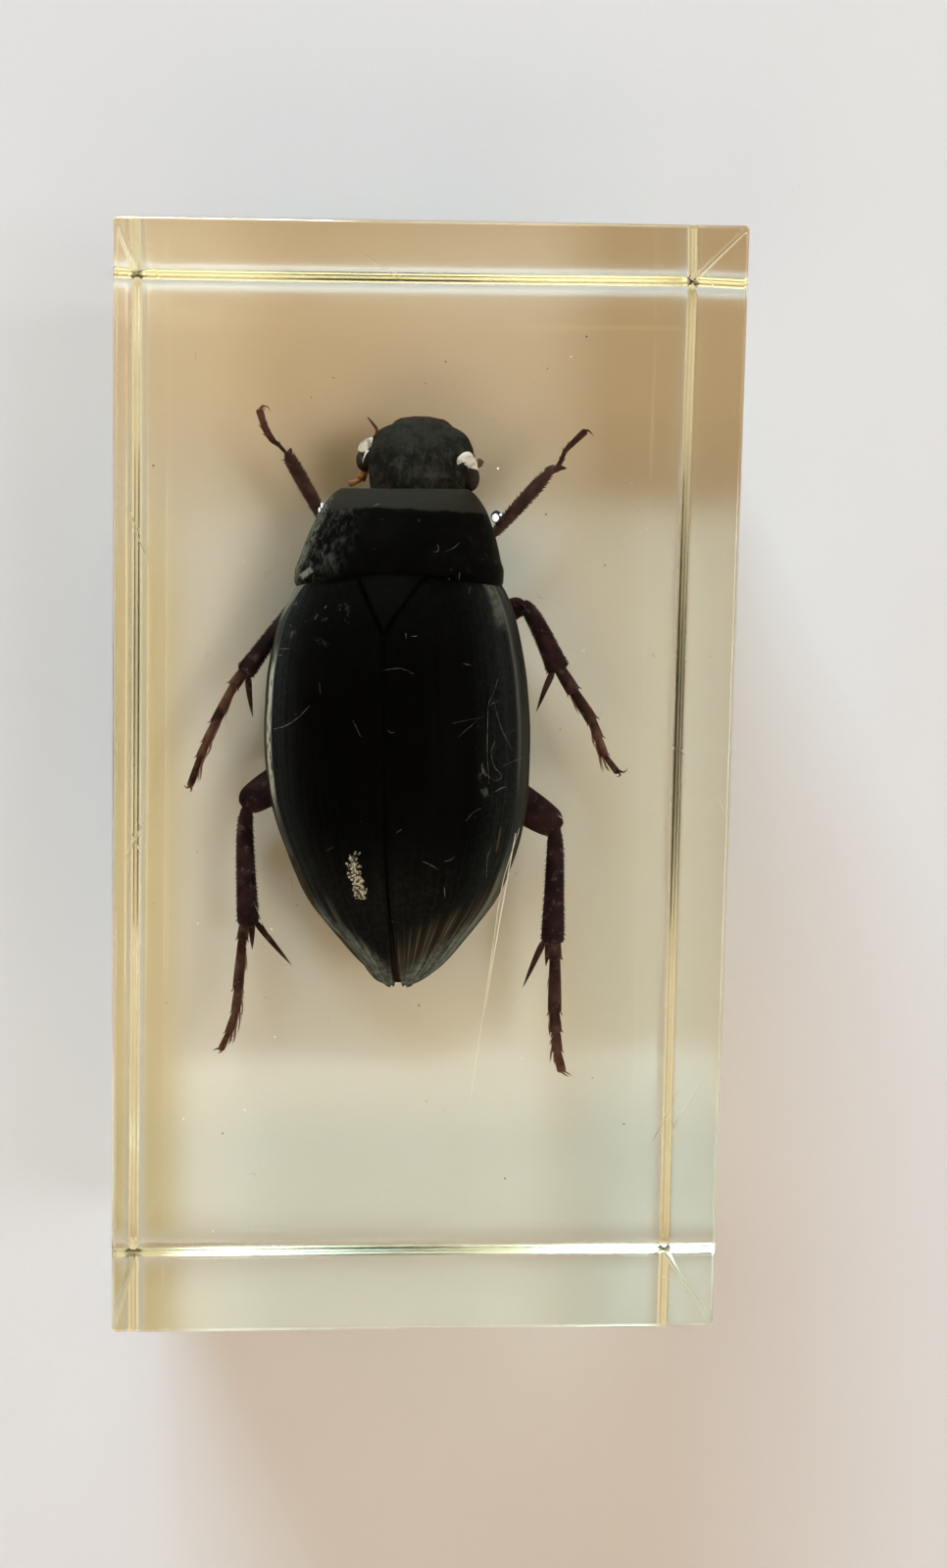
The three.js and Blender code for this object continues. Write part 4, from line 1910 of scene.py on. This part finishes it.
# Lint, as (thickness, height, line): hairs, curls, dashes and loose scratches, one by one.
LINT = [
    (0.040, 15.4, [(-9.58, 9.44), (-8.78, 9.45)]),
    (0.030, 15.2, [(-9.68, 8.99), (-9.36, 9.03)]),
    (0.028, 15.8, [(-9.91, 3.94), (-9.17, 4.15), (-8.30, 4.70), (-7.44, 5.58)]),
    (0.020, 17.0, [(-2.51, 8.06), (-1.34, 8.21), (-0.47, 7.89)]),
    (0.050, 17.0, [(-0.51, 7.89), (-0.40, 7.85)]),
    (0.025, 16.8, [(2.97, 8.60), (3.63, 8.47)]),
    (0.030, 17.0, [(-0.94, 10.60), (-0.90, 10.21)]),
    (0.030, 17.0, [(-0.60, 10.38), (-0.14, 10.41)]),
    (0.022, 16.6, [(5.44, 7.62), (5.18, 6.68), (4.79, 5.73), (4.77, 3.04), (4.95, 0.33)]),
    (0.018, 16.6, [(5.19, 6.01), (5.70, 4.26), (6.54, 2.65)]),
    (0.016, 16.6, [(4.79, 5.73), (5.66, 6.15)]),
    (0.020, 16.6, [
        (5.31, 3.31), (5.05, 2.50), (5.27, 1.55), (5.83, 0.88), (5.42, 0.53), (4.67, 1.14), (4.45, 1.82),
    ]),
    (0.050, 16.6, [(4.39, 1.68), (4.53, 1.14), (4.74, 0.87)]),
    (0.016, 16.8, [(5.90, 1.60), (6.74, 1.98), (7.69, 2.33)]),
    (0.014, 16.8, [(2.72, 3.56), (3.59, 4.31), (4.25, 4.93)]),
    (0.014, 16.8, [(2.37, 4.50), (3.31, 4.71), (4.45, 4.93)]),
    (0.020, 16.6, [(-6.78, 7.14), (-6.70, 6.34)]),
    (0.070, 15.6, [(-8.80, 11.11), (-8.75, 10.98)]),
    (0.050, 16.0, [(-6.47, 12.20), (-6.34, 12.40)]),
    (0.022, 16.0, [(0.43, -5.14), (0.91, -5.35), (1.53, -5.69)]),
    (0.022, 16.0, [(1.93, -5.14), (2.27, -5.07), (2.68, -4.79)]),
    (0.030, 15.8, [(1.97, -6.95), (2.05, -7.71)]),
    (0.020, 15.0, [(5.34, -4.04), (5.01, -5.15), (4.99, -6.40)]),
    (0.014, 14.5, [(-8.69, -6.29), (-8.55, -7.53)]),
    (0.012, 14.5, [(-9.03, -6.57), (-8.42, -6.49)]),
    (0.022, 17.2, [(1.11, 16.62), (1.21, 16.29), (1.12, 16.10), (0.85, 16.09)]),
    (0.018, 17.2, [(1.58, 16.10), (2.11, 16.31), (2.63, 16.74)]),
    (0.060, 16.8, [(1.96, 14.32), (2.01, 14.26)]),
    (0.030, 16.8, [(2.69, 14.76), (2.63, 14.23)]),
    (0.040, 15.6, [(-6.70, 16.04), (-6.60, 15.65)]),
    (0.018, 16.8, [(-4.48, 4.63), (-3.94, 3.50)]),
    (0.018, 16.8, [(3.44, 13.85), (3.31, 13.32)]),
    (0.018, 16.6, [(-6.23, -4.37), (-5.69, -4.09)]),
    (0.016, 16.6, [(-1.45, -3.12), (-1.04, -2.84)]),
    (0.016, 16.6, [(3.36, -2.27), (3.96, -1.59), (4.50, -1.31)]),
    (0.030, 16.6, [(5.37, -0.21), (5.84, 0.06), (6.25, 0.13)]),
]


LONG_HAIRS = [
    (0.042, 15.5, [(6.94, -3.16), (6.55, -5.51), (5.82, -10.09), (5.01, -15.63)]),
    (0.024, 17.5, [(7.04, -2.66), (5.89, -6.76), (5.17, -12.26), (3.94, -21.65)]),
]
LINT_FINENESS = 0.62


def fibre(radius, line, belly, end, sides, steps):
    """A fibre, thickest at its belly, half as thick at its root and tapered to its end."""
    return limb(line, scaled([(0, 0.5), (belly, 1), (1, end)], radius), sides=sides, steps=steps)


def level(line, height):
    """A line of (x, y) places at one height."""
    return [(x, y, height) for x, y in line]


class RESIN_OT_fibres(bpy.types.Operator):
    """Lay in the lint: the hairs and curls that show, and a few stray bits"""

    bl_idname = "resin_beetle.fibres"
    bl_label = "Fibres"

    def execute(self, context):
        dice = random.Random(11)
        parts = [fibre(r * LINT_FINENESS, level(line, z), 0.5, 0.4, 6, 20) for r, z, line in LINT]
        for _ in range(STRAY_BITS):
            root = scattered(dice, 17, 33, 1.5, 20.5)
            turn = dice.uniform(0, math.tau)
            reach = Vector((math.cos(turn), math.sin(turn), dice.uniform(-0.2, 0.2)))
            reach *= dice.uniform(0.15, 0.8)
            side = reach.cross(UP) * dice.uniform(-0.4, 0.4)
            line = [root, root + reach * 0.5 + side, root + reach]
            parts.append(fibre(dice.uniform(0.006, 0.012), line, 0.5, 0.5, 5, 8))
        finish_parts(parts, "lint_fibres", lint())
        hairs = [fibre(r, level(line, z), 0.4, 0.4, 6, 40) for r, z, line in LONG_HAIRS]
        finish_parts(hairs, "long_hairs", silk())
        return {"FINISHED"}


class RESIN_OT_dust(bpy.types.Operator):
    """Scatter specks of dust through the resin"""

    bl_idname = "resin_beetle.dust"
    bl_label = "Dust"

    def execute(self, context):
        dice = random.Random(23)
        crumb = start(bpy.ops.mesh.primitive_ico_sphere_add, subdivisions=2, radius=1)
        specks = []
        for i in range(DUST_SPECKS):
            seed = Vector((i * 3.7, 1.3, 0))
            at = scattered(dice, 19, 35, 0.8, 20.5)
            radius = 0.018 + 0.05 * dice.random() ** 4
            speck = copy_of(crumb)
            carry(speck, lambda co: at + co * radius * (1 + 0.6 * noise.noise(co * 1.7 + seed)))
            specks.append(speck)
        discard(crumb)
        finish_parts(specks, "dust_specks", grit())
        return {"FINISHED"}


# ---------------------------------------------------------------- panel and running


OPERATORS = (
    RESIN_OT_stage,
    RESIN_OT_block,
    RESIN_OT_elytra,
    RESIN_OT_scutellum,
    RESIN_OT_fore_body,
    RESIN_OT_head,
    RESIN_OT_eyes,
    RESIN_OT_mouthparts,
    RESIN_OT_hind_body,
    RESIN_OT_keel,
    RESIN_OT_legs,
    RESIN_OT_air,
    RESIN_OT_bubbles,
    RESIN_OT_flake,
    RESIN_OT_fibres,
    RESIN_OT_dust,
)


class RESIN_PT_panel(bpy.types.Panel):
    """Lists the pieces of the resin block"""

    bl_label = "Resin beetle"
    bl_idname = "RESIN_PT_panel"
    bl_space_type = "VIEW_3D"
    bl_region_type = "UI"
    bl_category = "Resin beetle"

    def draw(self, context):
        for operator in OPERATORS:
            self.layout.operator(operator.bl_idname)
        for group in SETTINGS:
            settings = getattr(context.scene, group)
            box = self.layout.box()
            for key in settings.__annotations__:
                box.prop(settings, key)


SETTINGS = {"resin_block": BlockSettings, "resin_beetle": BeetleSettings, "resin_stage": StageSettings}


def register():
    """Registers the settings, the operators and the panel."""
    for group in SETTINGS.values():
        bpy.utils.register_class(group)
    for thing in (*OPERATORS, RESIN_PT_panel):
        bpy.utils.register_class(thing)
    for key, group in SETTINGS.items():
        setattr(bpy.types.Scene, key, bpy.props.PointerProperty(type=group))


def unregister():
    """Takes all of them away again."""
    for key in SETTINGS:
        delattr(bpy.types.Scene, key)
    for thing in (*OPERATORS, RESIN_PT_panel, *SETTINGS.values()):
        bpy.utils.unregister_class(thing)


def main():
    """Makes every piece in order."""
    register()
    for operator in OPERATORS:
        group, name = operator.bl_idname.split(".")
        getattr(getattr(bpy.ops, group), name)()
    Rods.clear()


if __name__ == "__main__":
    main()
